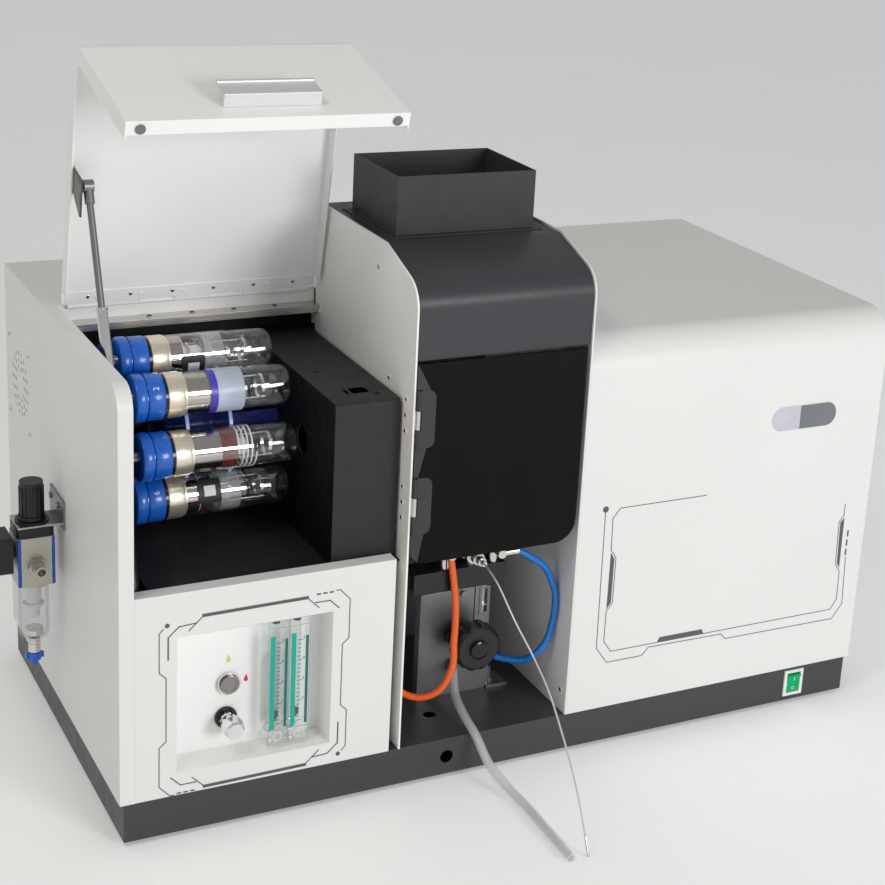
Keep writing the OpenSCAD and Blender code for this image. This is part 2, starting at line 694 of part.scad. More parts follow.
module gas_fittings() {
  o = orange_path[0];
  b = blue_path[0];
  color(steel) seat() {
    bar_z(manifold_z1, o[2] + 6, 6, o[0], 53);
    bar_y(o[1] - 5, 54, 5, o[0], o[2] + 4);
    bar_z(o[2] + 0.4, o[2] + 6, 4.6, o[0], o[1]);
    bar_z(manifold_z1, b[2] + 6, 6, b[0] - 21, 53);
    bar_y(b[1] - 5, 54, 5, b[0] - 21, b[2]);
    bar_x(b[0] - 21, b[0] - 0.4, 4.6, b[1], b[2]);
    bar_x(x_t0 + tower_t, orange_path[9][0] - 0.4, 5, orange_path[9][1], orange_path[9][2]);
    for (x = [120, 175]) {
      bar_y(body_d - 16, body_d + 4, 6, x, 110);
      translate([x, body_d, 110]) rotate([-90, 0, 0]) cylinder(h = 5, r = 9, $fn = 6);
      bar_y(body_d + 4, body_d + rear_out, 4, x, 110);
    }
    difference() {
      bar_y(back_y - 4, back_y, button_r + 2.5, button_x, button_z);
      bar_y(back_y - 5, back_y + 1, button_r + gap, button_x, button_z);
    }
  }
}

module spray_chamber() {
  color(black) seat() {
    bar_y(80, burner_y + 20, chamber_r, burner_x, chamber_z);
    bar_y(78, 86, chamber_r + 4, burner_x, chamber_z);
    block([burner_x - chamber_r - 4, 78, chamber_z - 6], [burner_x + chamber_r + 4, 86, chamber_z + 6]);
    bar_z(chamber_z, chamber_z + chamber_r + 12, 13, burner_x, burner_y);
    bar_z(chamber_z - chamber_r - 10, chamber_z, 6, burner_x - 12, burner_y - 4);
  }
}

module nebuliser() {
  color(steel) seat() {
    bar_y(62, 78, 11, burner_x, chamber_z);
    bar_y(34, 62, 7, burner_x, chamber_z);
    bar_y(44, 52, 9.5, burner_x, chamber_z);
    bar_y(20, 34, 3, burner_x, chamber_z);
    bar_y(26, 34, 5, burner_x, chamber_z);
    for (q = [[18, -4], [-18, 4]]) {
      bar_y(66, 78, 4, burner_x + q[0], chamber_z + q[1]);
    }
  }
}

module burner_head() {
  e = burner_w / 2;
  color(steel) seat() {
    bar_z(chamber_z + chamber_r + 12, burner_top - 28, 11, burner_x, burner_y);
    difference() {
      union() {
        block([burner_x - e, burner_y - 12, burner_top - 22], [burner_x + e, burner_y + 12, burner_top]);
        block([burner_x - e + 10, burner_y - 15, burner_top - 28], [burner_x + e - 10, burner_y + 15, burner_top - 18]);
      }
      block([burner_x - e + 6, burner_y - 0.5, burner_top - 14], [burner_x + e - 6, burner_y + 0.5, burner_top + 1]);
      for (s = [-1, 1]) {
        translate([0, burner_y + s * 12, burner_top]) rotate([45, 0, 0])
          translate([burner_x - e - 4, -4, -4]) cube([burner_w + 8, 8, 8]);
      }
    }
  }
}

// one straight-sided tooth, standing on its root line
module tooth(w0, w1, h) {
  polygon([[-w0 / 2, 0], [w0 / 2, 0], [w1 / 2, h], [-w1 / 2, h]]);
}

module lift_slide() {
  pitch = 2 * PI * pin_r / teeth;
  x0 = star_x - 52 + rail_w + 0.4;
  x1 = star_x + 34 - rail_w - 0.4;
  top = base_h + bracket_h;
  rack_x = star_x + pin_r + 1.4;
  color(steel) seat() {
    difference() {
      union() {
        block([x0, plate_y + 3.4, star_z - bracket_h * 0.414], [x1, plate_y + 9, chamber_z - 41]);
        difference() {
          block([burner_x - 20, plate_y + 9, chamber_z - 54], [burner_x + 20, burner_y - 12, chamber_z - 8]);
          bar_y(plate_y, burner_y, chamber_r, burner_x, chamber_z);
        }
      }
      block([star_x - pin_r - 4, plate_y, star_z - bracket_h * 0.31], [rack_x, plate_y + 12, star_z + bracket_h * 0.19]);
    }
    along_y(plate_y + 3.4, 5.6) for (k = [-6:2]) {
      translate([rack_x + 0.1, star_z + k * pitch]) rotate(90) tooth(2.6, 0.8, 2.5);
    }
    block([star_x + 24.6, plate_y - 0.4, top - 24], [star_x + 29.4, plate_y + 3.4, top - 22.5]);
  }
}

module star_knob() {
  lobes = 12;
  color(black) seat() {
    difference() {
      union() {
        bar_y(50, 66, star_r, star_x, star_z);
        translate([star_x, 66, star_z]) rotate([-90, 0, 0]) cylinder(h = 3, r1 = star_r, r2 = star_r - 5);
        translate([star_x, 47, star_z]) rotate([-90, 0, 0]) cylinder(h = 3, r1 = star_r - 4, r2 = star_r);
      }
      for (k = [0:lobes - 1]) {
        translate([star_x, 46, star_z]) rotate([0, k * 360 / lobes, 0]) translate([star_r + 1.4, 0, 0])
          rotate([-90, 0, 0]) cylinder(h = 24, r = 4, $fn = 16);
      }
    }
    bar_y(44, 47, 11, star_x, star_z);
    bar_y(69, plate_y - 1, 6.4, star_x, star_z);
    bar_y(plate_y - 1, plate_y + 3.6, 5, star_x, star_z);
    bar_y(plate_y + 3.6, plate_y + 8.6, pin_r - 1.4, star_x, star_z);
    along_y(plate_y + 3.6, 5) for (k = [0:teeth - 1]) {
      translate([star_x, star_z]) rotate(k * 360 / teeth) translate([0, pin_r - 1.6]) tooth(2.5, 0.8, 2.5);
    }
  }
}

module hose_orange() {
  color([0.95, 0.32, 0.08]) seat() hose(orange_path, 3.9, 2, 8);
}

module hose_blue() {
  color([0.05, 0.4, 0.8]) seat() hose(blue_path, 3.9, 2, 8);
}

module drain_hose() {
  color([0.75, 0.78, 0.8, 0.8]) seat() hose(drain_path, 5, 2, 8);
}

module capillary() {
  color([0.9, 0.9, 0.92]) seat() hose(sip_path, 1, 2, 6);
}

// lamp turret

// places a piece on every lamp axis
module each_lamp() {
  for (k = [0:lamps - 1]) {
    translate([0, turret_y, turret_z]) rotate([-k * 360 / lamps - 0.7, 0, 0]) translate([0, -turret_r, 0]) children();
  }
}

// a round length of a lamp, from one place along X to another
module lamp_bar(x0, x1, r) {
  translate([x0, 0, 0]) rotate([0, 90, 0]) cylinder(h = x1 - x0, r = r);
}

module lamp_sockets() {
  x = socket_x;
  color(blue) seat() each_lamp() {
    lamp_bar(x - 6, x, 6);
    lamp_bar(x, x + 16, lamp_r);
    lamp_bar(x + 16, x + 17.5, lamp_r - 3);
    lamp_bar(x + 17.5, x + 38, lamp_r - 1);
    lamp_bar(x + 38, x + 40, lamp_r - 2.5);
  }
}

module lamp_collars() {
  color([0.78, 0.74, 0.6]) seat() each_lamp() {
    lamp_bar(socket_x + 40, glass_x0, lamp_r - 1.5);
    translate([glass_x0, 0, 0]) rotate([0, 90, 0]) cylinder(h = glass_l * 0.46, r = 7, $fn = 12);
    translate([glass_x0 + glass_l * 0.23, 0, 0]) rotate([0, 90, 0]) cylinder(h = 16, r = 14, $fn = 12);
  }
}

module lamp_glass() {
  r = lamp_r - 2.5;
  l = glass_l;
  color([0.8, 0.85, 0.9, 0.35]) seat() each_lamp() rotate([0, 90, 0]) translate([0, 0, glass_x0]) rotate_extrude($fn = 24)
    polygon([[r - 1.5, 0], [r, 0], [r, l * 0.566], [r - 1.2, l * 0.6], [r - 1.2, l - 4], [r - 2.4, l - 1], [r - 3.4, l],
      [0, l], [0, l - 1.5], [r - 4, l - 1.5], [r - 2.8, l * 0.6], [r - 1.5, l * 0.558]]);
}

module turret_frame() {
  r = lamp_r - 2.5;
  x1 = glass_x0 + 3;
  x2 = glass_x0 + glass_l * 0.434;
  color([0.7, 0.82, 0.95, 0.6]) seat() {
    for (x = [x1, x2]) {
      difference() {
        bar_x(x, x + 4, turret_r - 6, turret_y, turret_z);
        each_lamp() lamp_bar(x - 1, x + 5, r + 0.02);
      }
    }
    bar_x(x1, optics_x0 + 21, turret_shaft_r, turret_y, turret_z);
    bar_x(x1, x2 + 4, turret_shaft_r + 8, turret_y, turret_z);
  }
}

// lid

// turns a piece drawn in the closed pose to the open rest pose
module lid_pose() {
  translate([0, hinge_y, side_h]) rotate([-lid_swing, 0, 0]) children();
}

// a point of the lid's flap, turned about the centre of the bend
function flap_point(c, y, z) =
  let (t = 90 - lid_angle)
    [c[0] + y * cos(t) - z * sin(t), c[1] + y * sin(t) + z * cos(t)];

// an arc of the lid's bend, from one angle to another
function bend_points(c, r, a0, a1) =
  [for (i = [0:bend_steps]) [c[0] + r * cos(a0 + (a1 - a0) * i / bend_steps), c[1] + r * sin(a0 + (a1 - a0) * i / bend_steps)]];

// a strip of width w of the lid, of depth d under its outer face, with a lip at its end, hinge at the origin
module lid_band(x0, w, d, u0, lip) {
  c = [lid_tan - lid_a, -lid_bend_r];
  low = lid_tan - lid_b;
  end = 270 - lid_angle;
  along_x(x0, w) polygon(concat(
    [[-u0, 0]],
    bend_points(c, lid_bend_r, 90, end),
    [flap_point(c, -lid_bend_r, low)],
    lip > d ? [
      flap_point(c, lip - lid_bend_r, low),
      flap_point(c, lip - lid_bend_r, low + sheet),
      flap_point(c, d - lid_bend_r, low + sheet)
    ] : [flap_point(c, d - lid_bend_r, low)],
    bend_points(c, lid_bend_r - d, end, 90),
    [[-u0, -d]]
  ));
}

module lid_shell() {
  step = (lid_x1 - lid_x0 - 12) / hinge_n;
  color(white) seat() lid_pose() {
    lid_band(lid_x0, lid_x1 - lid_x0, sheet, 4, lid_lip);
    for (x = [lid_x0, lid_x1 - sheet]) {
      lid_band(x, sheet, lid_flange, 18.2, 0);
    }
    difference() {
      union() {
        block([lid_x0 + 4, -17, -sheet - 1.2], [lid_x1 - 4, -3.8, -sheet]);
        for (i = [1:2:hinge_n - 2]) {
          bar_x(knuckle_x(i) + 0.1, knuckle_x(i + 1) - 0.1, barrel_r, 0, 0);
          block([knuckle_x(i) + 0.1, -4, -sheet - 1.2], [knuckle_x(i + 1) - 0.1, -1, -sheet + 0.2]);
        }
      }
      bar_x(lid_x0, lid_x1, 1.5 + fit, 0, 0);
    }
    for (i = [0:4]) {
      bar_z(-sheet - 2.2, -sheet - 1.1, 2.4, lid_x0 + 37 + i * (lid_x1 - lid_x0 - 92.5) / 4, -10);
    }
  }
}

module lid_handle() {
  f = lid_b;
  color(steel) seat() lid_pose() translate([0, -(lid_a - lid_tan), -lid_bend_r]) rotate([90 - lid_angle, 0, 0])
    translate([lid_x0 + (lid_x1 - lid_x0) * 0.35, -lid_bend_r, lid_tan - f]) {
      along_x(0, handle_w) {
        translate([-14, 22]) square([14, 3]);
        translate([-14, 22]) square([2.5, 28]);
        translate([-16, 46]) square([4, 4]);
      }
      along_x(0, 8) translate([-14, 22]) square([14, 10]);
      along_x(handle_w - 8, 8) translate([-14, 22]) square([14, 10]);
    }
}

module lid_bumpers() {
  color(black) seat() lid_pose() translate([0, -(lid_a - lid_tan), -lid_bend_r]) rotate([90 - lid_angle, 0, 0])
    for (x = [lid_x0 + 14, lid_x1 - 13]) {
      bar_z(lid_tan - lid_b - 2, lid_tan - lid_b, 5, x, -lid_bend_r + 8);
    }
}

module lid_stud() {
  color(dark) seat() lid_pose() {
    difference() {
      block([lid_x0 + sheet, -stud_u - 10, -stud_v - 9], [lid_x0 + sheet + 2, -stud_u + 30, -sheet]);
      translate([lid_x0, -stud_u + 34, -stud_v - 12]) rotate([30, 0, 0]) cube([8, 30, 40]);
    }
    bar_x(lid_x0 + sheet + 2, strut_x - 5.6, 3.2, -stud_u, -stud_v);
  }
}

// puts a piece drawn upright on the lower strut pivot
module strut_pose() {
  translate([strut_x, pivot_y, pivot_z]) rotate([-strut_lean, 0, 0]) children();
}

module strut_tube() {
  color(dark) seat() strut_pose() difference() {
    union() {
      translate([0, 0, 14]) cylinder(h = strut_len - strut_show - strut_mid - 14, r = strut_r);
      translate([-4.5, 0, 0]) rotate([0, 90, 0]) cylinder(h = 9, r = 7);
      translate([-4.5, -5, 0]) cube([9, 10, 15]);
    }
    translate([0, 0, 18]) cylinder(h = strut_len, r = strut_r - 1.2);
    translate([-6, 0, 0]) rotate([0, 90, 0]) cylinder(h = 12, r = 3 + fit);
  }
}

module strut_sleeve() {
  top = strut_len - strut_show;
  color(steel) seat() strut_pose() difference() {
    union() {
      translate([0, 0, top - sleeve_len]) cylinder(h = sleeve_len, r = strut_r - 1.2 - fit);
      translate([0, 0, top - 2]) cylinder(h = 2, r = strut_r - 0.6);
    }
    translate([0, 0, top - sleeve_len - 1]) cylinder(h = sleeve_len + 2, r = 3.5 + fit);
  }
}

module strut_rod() {
  color([0.8, 0.8, 0.82]) seat() strut_pose() {
    translate([0, 0, strut_len - rod_len]) cylinder(h = rod_len - 4, r = 3.5);
    translate([0, 0, strut_len - 18]) cylinder(h = 14, r = 5);
    translate([-5, 0, strut_len]) rotate([0, 90, 0]) cylinder(h = 10, r = 6.5);
  }
}

// controls in the recess

module ignition_button() {
  color(steel) seat() {
    difference() {
      bar_y(back_y - 7, back_y - 3, button_r, button_x, button_z);
      bar_y(back_y - 8, back_y - 6, button_r - 3, button_x, button_z);
    }
    bar_y(back_y - 3.1, back_y + 8, button_r - 2, button_x, button_z);
  }
}

module gas_knob() {
  color([0.82, 0.82, 0.84]) seat() {
    difference() {
      union() {
        bar_y(1, 22, gas_knob_r, knob_x, knob_z);
        bar_y(22, back_y - 0.5, gas_knob_r - 3, knob_x, knob_z);
      }
      for (k = [0:5]) {
        translate([knob_x, 0, knob_z]) rotate([0, k * 60, 0]) translate([gas_knob_r, 8, 0]) rotate([0, 0, 45])
          cube([5, 5, 30], center = true);
      }
    }
    bar_y(back_y - 0.5, back_y + 12, 3, knob_x, knob_z);
  }
}

module meter_blocks() {
  color([0.85, 0.95, 0.93, 0.4]) seat() for (i = [0, 1]) {
    x = meter_x + i * (meter_w + 0.5);
    difference() {
      block([x, back_y - meter_d, meter_z0], [x + meter_w, back_y, meter_z1]);
      bar_z(meter_z0 + 22, meter_z1 + 1, float_r + 0.3, x + meter_w / 2, back_y - meter_d + 11);
    }
    bar_z(meter_z1 - 8, meter_z1 - 0.5, float_r + 0.3, x + meter_w / 2, back_y - meter_d + 11);
  }
}

module meter_scales() {
  color([0.02, 0.62, 0.5]) seat() for (i = [0, 1]) {
    x = meter_x + i * (meter_w + 0.5);
    y = back_y - meter_d;
    block([x + 1.5, y - 0.3, meter_z0 + 18], [x + 6.5, y, meter_z1 - 18]);
    block([x + meter_w - 5, y - 0.3, meter_z0 + 20], [x + meter_w - 2, y, meter_z1 - 22]);
  }
}

module float_body(i) {
  x = meter_x + i * (meter_w + 0.5) + meter_w / 2;
  y = back_y - meter_d + 11;
  z = meter_z0 + 22;
  translate([x, y, z + 0.3]) cylinder(h = 5, r1 = 1, r2 = float_r);
  translate([x, y, z + 5.3]) cylinder(h = 5, r = float_r);
}

module float_left() {
  color(black) seat() float_body(0);
}

module float_right() {
  color(black) seat() float_body(1);
}

// marks, badge and switch

// one straight printed line of width w between two (x, z) points
module mark_line(a, b, w) {
  d = b - a;
  translate(a) rotate(atan2(d[1], d[0])) translate([-w / 2, -w / 2]) square([norm(d) + w, w]);
}

// a printed line through several points
module mark_run(p, w) {
  for (i = [0:len(p) - 2]) {
    mark_line(p[i], p[i + 1], w);
  }
}

// half of the border around the control recess, centred on the recess
module border_half() {
  x0 = -recess_w / 2;
  x1 = recess_w / 2;
  z0 = -recess_h / 2;
  z1 = recess_h / 2;
  mark_run([[x0 - 14, z1 + 12], [x0 - 18, z1 + 7], [x0 - 18, z1 - 35], [x0 - 11, z1 - 42], [x0 - 11, z0 + 38],
    [x0 - 18, z0 + 32], [x0 - 18, z0 - 12], [x0 - 7, z0 - 24], [x0 - 3, z0 - 24]], 0.9);
  mark_run([[x0 - 9, z1 - 22], [x0 - 9, z1 + 2]], 1.4);
  mark_run([[x0 - 9, z1 + 2], [x0 + 2, z1 + 12], [x0 + 19, z1 + 13]], 1.1);
  mark_run([[x0 + 12, z1 + 6], [x0 + 27, z1 + 20]], 1);
  mark_run([[x0 + 27, z1 + 20], [x1 - 29, z1 + 21]], 3.4);
  mark_run([[x1 - 29, z1 + 21], [x1 - 16, z1 + 8]], 1);
  mark_run([[x1 - 20, z1 + 14], [x1 - 4, z1 + 14], [x1 + 6, z1 + 4]], 1.1);
  translate([x0 - 10, z1 + 15]) circle(r = 2.4);
  for (k = [0:2]) {
    mark_run([[x0 + 1 + k * 7, z0 - 23], [x0 + 4 + k * 7, z0 - 23]], 1.6);
  }
}

module printed_marks() {
  l = x_t1 + 31;
  r = body_w - 20;
  b = base_h + 56;
  t = side_h - 194;
  color([0.3, 0.3, 0.32]) seat() {
    along_y(-0.3, 0.3) {
      translate([(recess_x0 + recess_x1) / 2, (recess_z0 + recess_z1) / 2]) {
        border_half();
        rotate(180) border_half();
      }
      mark_run([[l, t - 2], [l, t - 7], [l + 2, b + 20], [l + 17, b], [l + 63, b], [l + 71, b + 9], [l + 170, b + 8],
        [l + 176, b + 1], [r - 13, b], [r, b + 18], [r - 3, b + 79]], 0.8);
      mark_run([[l + 131, t - 1], [l + 19, t - 1], [l + 10, t - 12], [l + 11, t - 50], [l + 18, t - 60], [l + 18, b + 73],
        [l + 11, b + 64], [l + 11, b + 27], [l + 21, b + 13], [r - 17, b + 13], [r - 9, b + 25], [r - 10, b + 62],
        [r - 17, b + 72], [r - 19, t - 61], [r - 13, t - 54], [r - 13, t - 39]], 0.8);
      polygon([[l + 11, t - 53], [l + 16, t - 61], [l + 16, b + 74], [l + 11, b + 67]]);
      polygon([[r - 12, t - 57], [r - 17, t - 62], [r - 15, b + 73], [r - 11, b + 67]]);
      polygon([[l + 82, b + 13], [l + 85, b + 19], [l + 142, b + 19], [l + 145, b + 13]]);
      translate([l, t]) circle(r = 3.6);
      for (k = [0:2]) {
        mark_run([[r - 4, b + 83 + k * 12], [r - 4, b + 89 + k * 12]], 2);
      }
    }
    along_y(back_y - 0.3, 0.3) {
      for (p = [[0, 25], [19, 0]]) {
        translate([button_x + p[0], button_z + p[1]]) {
          circle(r = 2.2);
          polygon([[-2.1, 0.8], [2.1, 0.8], [0.3, 6.5]]);
        }
      }
    }
  }
}

module badge_plate() {
  color([0.75, 0.75, 0.77]) seat() along_y(-1.2, 1.2)
    translate([body_w - 108, side_h - 115]) round_rect(badge_w, badge_h, badge_h / 2 - 0.5);
}

module switch_bezel() {
  color(white) seat() difference() {
    union() {
      block([switch_x - 13.5, front_r2 - 2, switch_z - 16.5], [switch_x + 13.5, front_r2, switch_z + 16.5]);
      block([switch_x - 11, front_r2, switch_z - 14], [switch_x + 11, front_r2 + 18, switch_z + 14]);
    }
    block([switch_x - 9.5, front_r2 - 3, switch_z - 13], [switch_x + 9.5, front_r2 + 14, switch_z + 13]);
    bar_x(switch_x - 12, switch_x + 12, 1.5 + fit, front_r2 + 4.5, switch_z);
  }
}

module power_rocker() {
  color([0.02, 0.6, 0.28]) seat() translate([0, front_r2 + 4.5, switch_z]) rotate([9, 0, 0]) {
    bar_x(switch_x - 10.5, switch_x + 10.5, 1.5, 0, 0);
    along_x(switch_x - 9, 18) {
      difference() {
        translate([-7, -11.5]) square([11, 23]);
        translate([-40.5, 0]) circle(r = 35);
      }
    }
  }
}

// filter regulator

module regulator_body() {
  color([0.76, 0.74, 0.68]) seat() {
    translate([reg_x, reg_y, reg_z0]) linear_extrude(height = reg_z1 - reg_cap - reg_z0) round_rect(reg_w, reg_w, 3);
    translate([reg_x, reg_y, reg_z1 - reg_cap]) linear_extrude(height = reg_cap) round_rect(reg_w + 1, reg_w + 1, 7);
    bar_z(reg_z1, reg_z1 + 4, bonnet_r, reg_x, reg_y);
    bar_z(reg_z0 - 3, reg_z0, bowl_r + 1.5, reg_x, reg_y);
    bar_z(reg_z1 + 4, reg_z1 + 38, 4, reg_x, reg_y);
  }
}

module regulator_hardware() {
  w = reg_w / 2;
  z = reg_z0 + 24;
  color(steel) seat() {
    difference() {
      union() {
        block([-2, reg_y - 21, reg_z1 - 6], [0, reg_y + 37, reg_z1 + 25]);
        block([reg_x - w, reg_y - w, reg_z1], [-2, reg_y + w, reg_z1 + 2]);
      }
      bar_z(reg_z1 - 1, reg_z1 + 4, bonnet_r, reg_x, reg_y);
    }
    for (y2 = [1, 31]) {
      bar_x(-4, -2, 3.4, reg_y + y2, reg_z1 + 14);
    }
    difference() {
      union() {
        bar_y(reg_y - w - 18, reg_y - w, 8, reg_x, z);
        translate([reg_x, reg_y - w - 8, z]) rotate([-90, 0, 0]) cylinder(h = 8, r = 10.5, $fn = 6);
        bar_y(reg_y - w - 21, reg_y - w - 18, 6.5, reg_x, z);
      }
      bar_y(reg_y - w - 22, reg_y - w - 6, 4.05, reg_x, z);
    }
  }
}

module regulator_bowl() {
  z = reg_z0 - 3;
  e = z - bowl_l;
  color([0.85, 0.9, 0.95, 0.5]) seat() {
    difference() {
      union() {
        bar_z(e, z, bowl_r, reg_x, reg_y);
        translate([reg_x, reg_y, e - 8]) cylinder(h = 8, r1 = bowl_r - 6, r2 = bowl_r);
      }
      bar_z(e - 2, z - 0.5, bowl_r - 2.5, reg_x, reg_y);
    }
    bar_z(z - 36, z - 0.4, 6, reg_x, reg_y);
    difference() {
      bar_z(e - 20, e - 8, 6.5, reg_x, reg_y);
      bar_z(e - 21, e - 11, 3 + fit, reg_x, reg_y);
    }
  }
}

module gauge_case() {
  x = reg_x - reg_w / 2 - gauge_d;
  z = reg_z0 + 37;
  color(black) seat() difference() {
    union() {
      translate([x, reg_y, z]) rotate([90, 0, 90]) linear_extrude(height = gauge_d - 5) round_rect(40, 40, 4);
      bar_x(x + gauge_d - 5, x + gauge_d, 9, reg_y, z);
    }
    bar_x(x - 1, x + 4, 17, reg_y, z);
  }
}

module gauge_needle() {
  x = reg_x - reg_w / 2 - gauge_d;
  z = reg_z0 + 37;
  color([0.9, 0.9, 0.9]) seat() {
    bar_x(x + 1.4, x + 3.7, 2, reg_y, z);
    translate([x + 2, reg_y, z]) rotate([-45, 0, 0]) translate([0, -0.6, -14]) cube([0.8, 1.2, 17]);
  }
}

module regulator_knob() {
  z = reg_z1 + 4.4;
  color(black) seat() difference() {
    union() {
      bar_z(z, z + 41.6, reg_knob_r - 0.8, reg_x, reg_y);
      bar_z(z, z + 4, reg_knob_r + 1, reg_x, reg_y);
      for (k = [0:15]) {
        translate([reg_x, reg_y, z + 3]) rotate(k * 22.5) translate([reg_knob_r - 2, -1.4, 0]) cube([2, 2.8, 33]);
      }
    }
    bar_z(z - 1, z + 35, 4 + fit, reg_x, reg_y);
  }
}

module drain_cock() {
  z = reg_z0 - bowl_l - 23;
  color(blue) seat() difference() {
    union() {
      bar_z(z - 9, z - 0.4, 7, reg_x, reg_y);
      bar_z(z - 2, z + 8, 3, reg_x, reg_y);
      bar_z(z - 15, z - 9, 3.4, reg_x, reg_y);
      block([reg_x - 9.5, reg_y - 2, z - 8], [reg_x + 9.5, reg_y + 2, z - 2]);
    }
    bar_z(z - 16, z + 9, 1.5, reg_x, reg_y);
  }
}

// rear and inside

module power_inlet() {
  z = base_h + 50;
  color(black) seat() difference() {
    union() {
      translate([switch_x, 0, z]) along_y(body_d, 3) round_rect(50, 28, 3);
      block([switch_x - 15, body_d - 22, z - 11.5], [switch_x + 15, body_d, z + 11.5]);
    }
    difference() {
      block([switch_x - 12.2, body_d - 16, z - 8.2], [switch_x + 12.2, body_d + 4, z + 8.2]);
      for (q = [[-7, -2], [7, -2], [0, 2]]) {
        block([switch_x + q[0] - 1, body_d - 16, z + q[1] - 2], [switch_x + q[0] + 1, body_d - 2, z + q[1] + 2]);
      }
    }
    for (s = [-1, 1]) {
      bar_y(body_d - 1, body_d + 4, 1.8, switch_x + s * 20, z);
    }
  }
}

module right_cover() {
  z = base_h + 50;
  color(white) seat() difference() {
    along_x(x_t1, body_w - x_t1) housing_outline(side_h, right_bend_r, 0, base_h);
    along_x(x_t1 - 1, body_w - x_t1 + 1 - sheet) housing_outline(side_h, right_bend_r, sheet, base_h - 1);
    block([switch_x - 15.2, body_d - 6, z - 11.7], [switch_x + 15.2, body_d + 1, z + 11.7]);
    for (i = [0:8]) {
      block([x_t1 + 94 + i * 14, body_d - 6, side_h - 156], [x_t1 + 100 + i * 14, body_d + 1, side_h - 86]);
    }
  }
}

module fan_frame() {
  color(black) seat() {
    difference() {
      translate([sheet, fan_y, fan_z]) rotate([90, 0, 90]) linear_extrude(height = 25) round_rect(fan_s, fan_s, 4);
      bar_x(sheet - 1, sheet + 26, 42, fan_y, fan_z);
    }
    bar_x(sheet + 22, sheet + 25, 14, fan_y, fan_z);
    for (k = [0:3]) {
      translate([sheet + 22.3, fan_y, fan_z]) rotate([k * 90 + 45, 0, 0]) translate([0, -3, 8]) cube([2.4, 6, 37]);
    }
    bar_x(sheet + 8, sheet + 23, 2, fan_y, fan_z);
  }
}

module fan_rotor() {
  color(dark) seat() difference() {
    union() {
      bar_x(sheet + 3, sheet + 20, 15, fan_y, fan_z);
      for (k = [0:6]) {
        translate([sheet + 11.5, fan_y, fan_z]) rotate([k * 360 / 7, 0, 0]) rotate([0, 0, 35]) translate([-1, -9, 12])
          cube([2, 18, 26]);
      }
    }
    bar_x(sheet + 2, sheet + 21, 2 + fit, fan_y, fan_z);
  }
}

module internal_modules() {
  x0 = x_t1 + 24;
  x1 = body_w - 100;
  y0 = 110;
  y1 = body_d - 55;
  z0 = beam_z - 61;
  z1 = beam_z + 59;
  color([0.5, 0.52, 0.54]) seat() {
    difference() {
      block([x0, y0, z0], [x1, y1, z1]);
      block([x0 + 3, y0 + 3, z0 + 3], [x1 - 3, y1 - 3, z1 - 3]);
      bar_x(x0 - 1, x0 + 4, 8, burner_y, beam_z);
    }
    block([x0 + 6, y0 + 10, base_h], [x0 + 9, y1 - 10, z0]);
    block([x1 - 9, y0 + 10, base_h], [x1 - 6, y1 - 10, z0]);
    bar_z(z1, z1 + 40, 26, x1 - 60, y1 - 50);
    difference() {
      block([x0 + 40, y0 + 40, base_h], [x1 - 40, y0 + 160, base_h + 55]);
      block([x0 + 42, y0 + 42, base_h + 2], [x1 - 42, y0 + 158, base_h + 53]);
      for (i = [0:7]) {
        translate([x0 + 60 + i * (x1 - x0 - 142) / 7, y0 + 60, base_h + 50]) cube([6, 80, 6]);
      }
    }
  }
}

base_tray();
rubber_feet();
left_side_panel();
left_front_panel();
rear_cover();
ledge_strip();
compartment_liner();
optics_box();
tower_left_panel();
tower_right_panel();
tower_cover();
chimney_duct();
burner_backplate();
right_cover();
gas_fittings();
power_inlet();
fan_frame();
lift_bracket();
gas_manifold();
door_hinge_fixed();
badge_plate();
printed_marks();
switch_bezel();
regulator_body();
regulator_hardware();
regulator_bowl();
gauge_case();
meter_blocks();
meter_scales();
internal_modules();
hose_orange();
hose_blue();
drain_hose();
lid_shell();
lid_handle();
lid_bumpers();
lid_stud();
strut_tube();
strut_sleeve();
strut_rod();
door_panel();
power_rocker();
ignition_button();
gas_knob();
star_knob();
lift_slide();
burner_head();
spray_chamber();
nebuliser();
capillary();
turret_frame();
lamp_sockets();
lamp_collars();
lamp_glass();
float_left();
float_right();
regulator_knob();
gauge_needle();
drain_cock();
fan_rotor();
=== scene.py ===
"""Dressed model of a bench flame atomic absorption spectrophotometer.

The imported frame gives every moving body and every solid. The classes below add the finishes, the clear
parts and the small detail. Sizes are in millimetres in the instrument's own front-left frame, and place()
turns them into metres.
"""
import logging
import math
import random
from collections.abc import Callable
from dataclasses import dataclass
from enum import Enum, IntEnum

import bmesh
import bpy
from mathutils import Matrix, Vector


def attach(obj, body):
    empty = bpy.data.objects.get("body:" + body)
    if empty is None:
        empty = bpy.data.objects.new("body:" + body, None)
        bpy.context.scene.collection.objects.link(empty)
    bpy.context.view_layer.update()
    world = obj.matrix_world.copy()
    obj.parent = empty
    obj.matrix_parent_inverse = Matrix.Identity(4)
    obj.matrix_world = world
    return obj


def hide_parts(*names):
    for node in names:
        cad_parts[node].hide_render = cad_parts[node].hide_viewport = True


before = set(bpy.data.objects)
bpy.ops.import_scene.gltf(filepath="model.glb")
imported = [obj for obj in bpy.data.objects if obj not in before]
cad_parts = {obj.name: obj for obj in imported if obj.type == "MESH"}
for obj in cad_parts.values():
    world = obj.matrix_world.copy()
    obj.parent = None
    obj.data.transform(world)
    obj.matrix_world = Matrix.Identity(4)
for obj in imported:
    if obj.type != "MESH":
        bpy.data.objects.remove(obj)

LOG = logging.getLogger("instrument")
MM = 0.001
SEAT_X, SEAT_Y = 413.0, 236.7  # the front-left corner frame's shift to the bottom centre
Point = tuple[float, float, float]
Flat = tuple[float, float]
Socket = bpy.types.NodeSocket
Picker = Callable[[Vector], int]
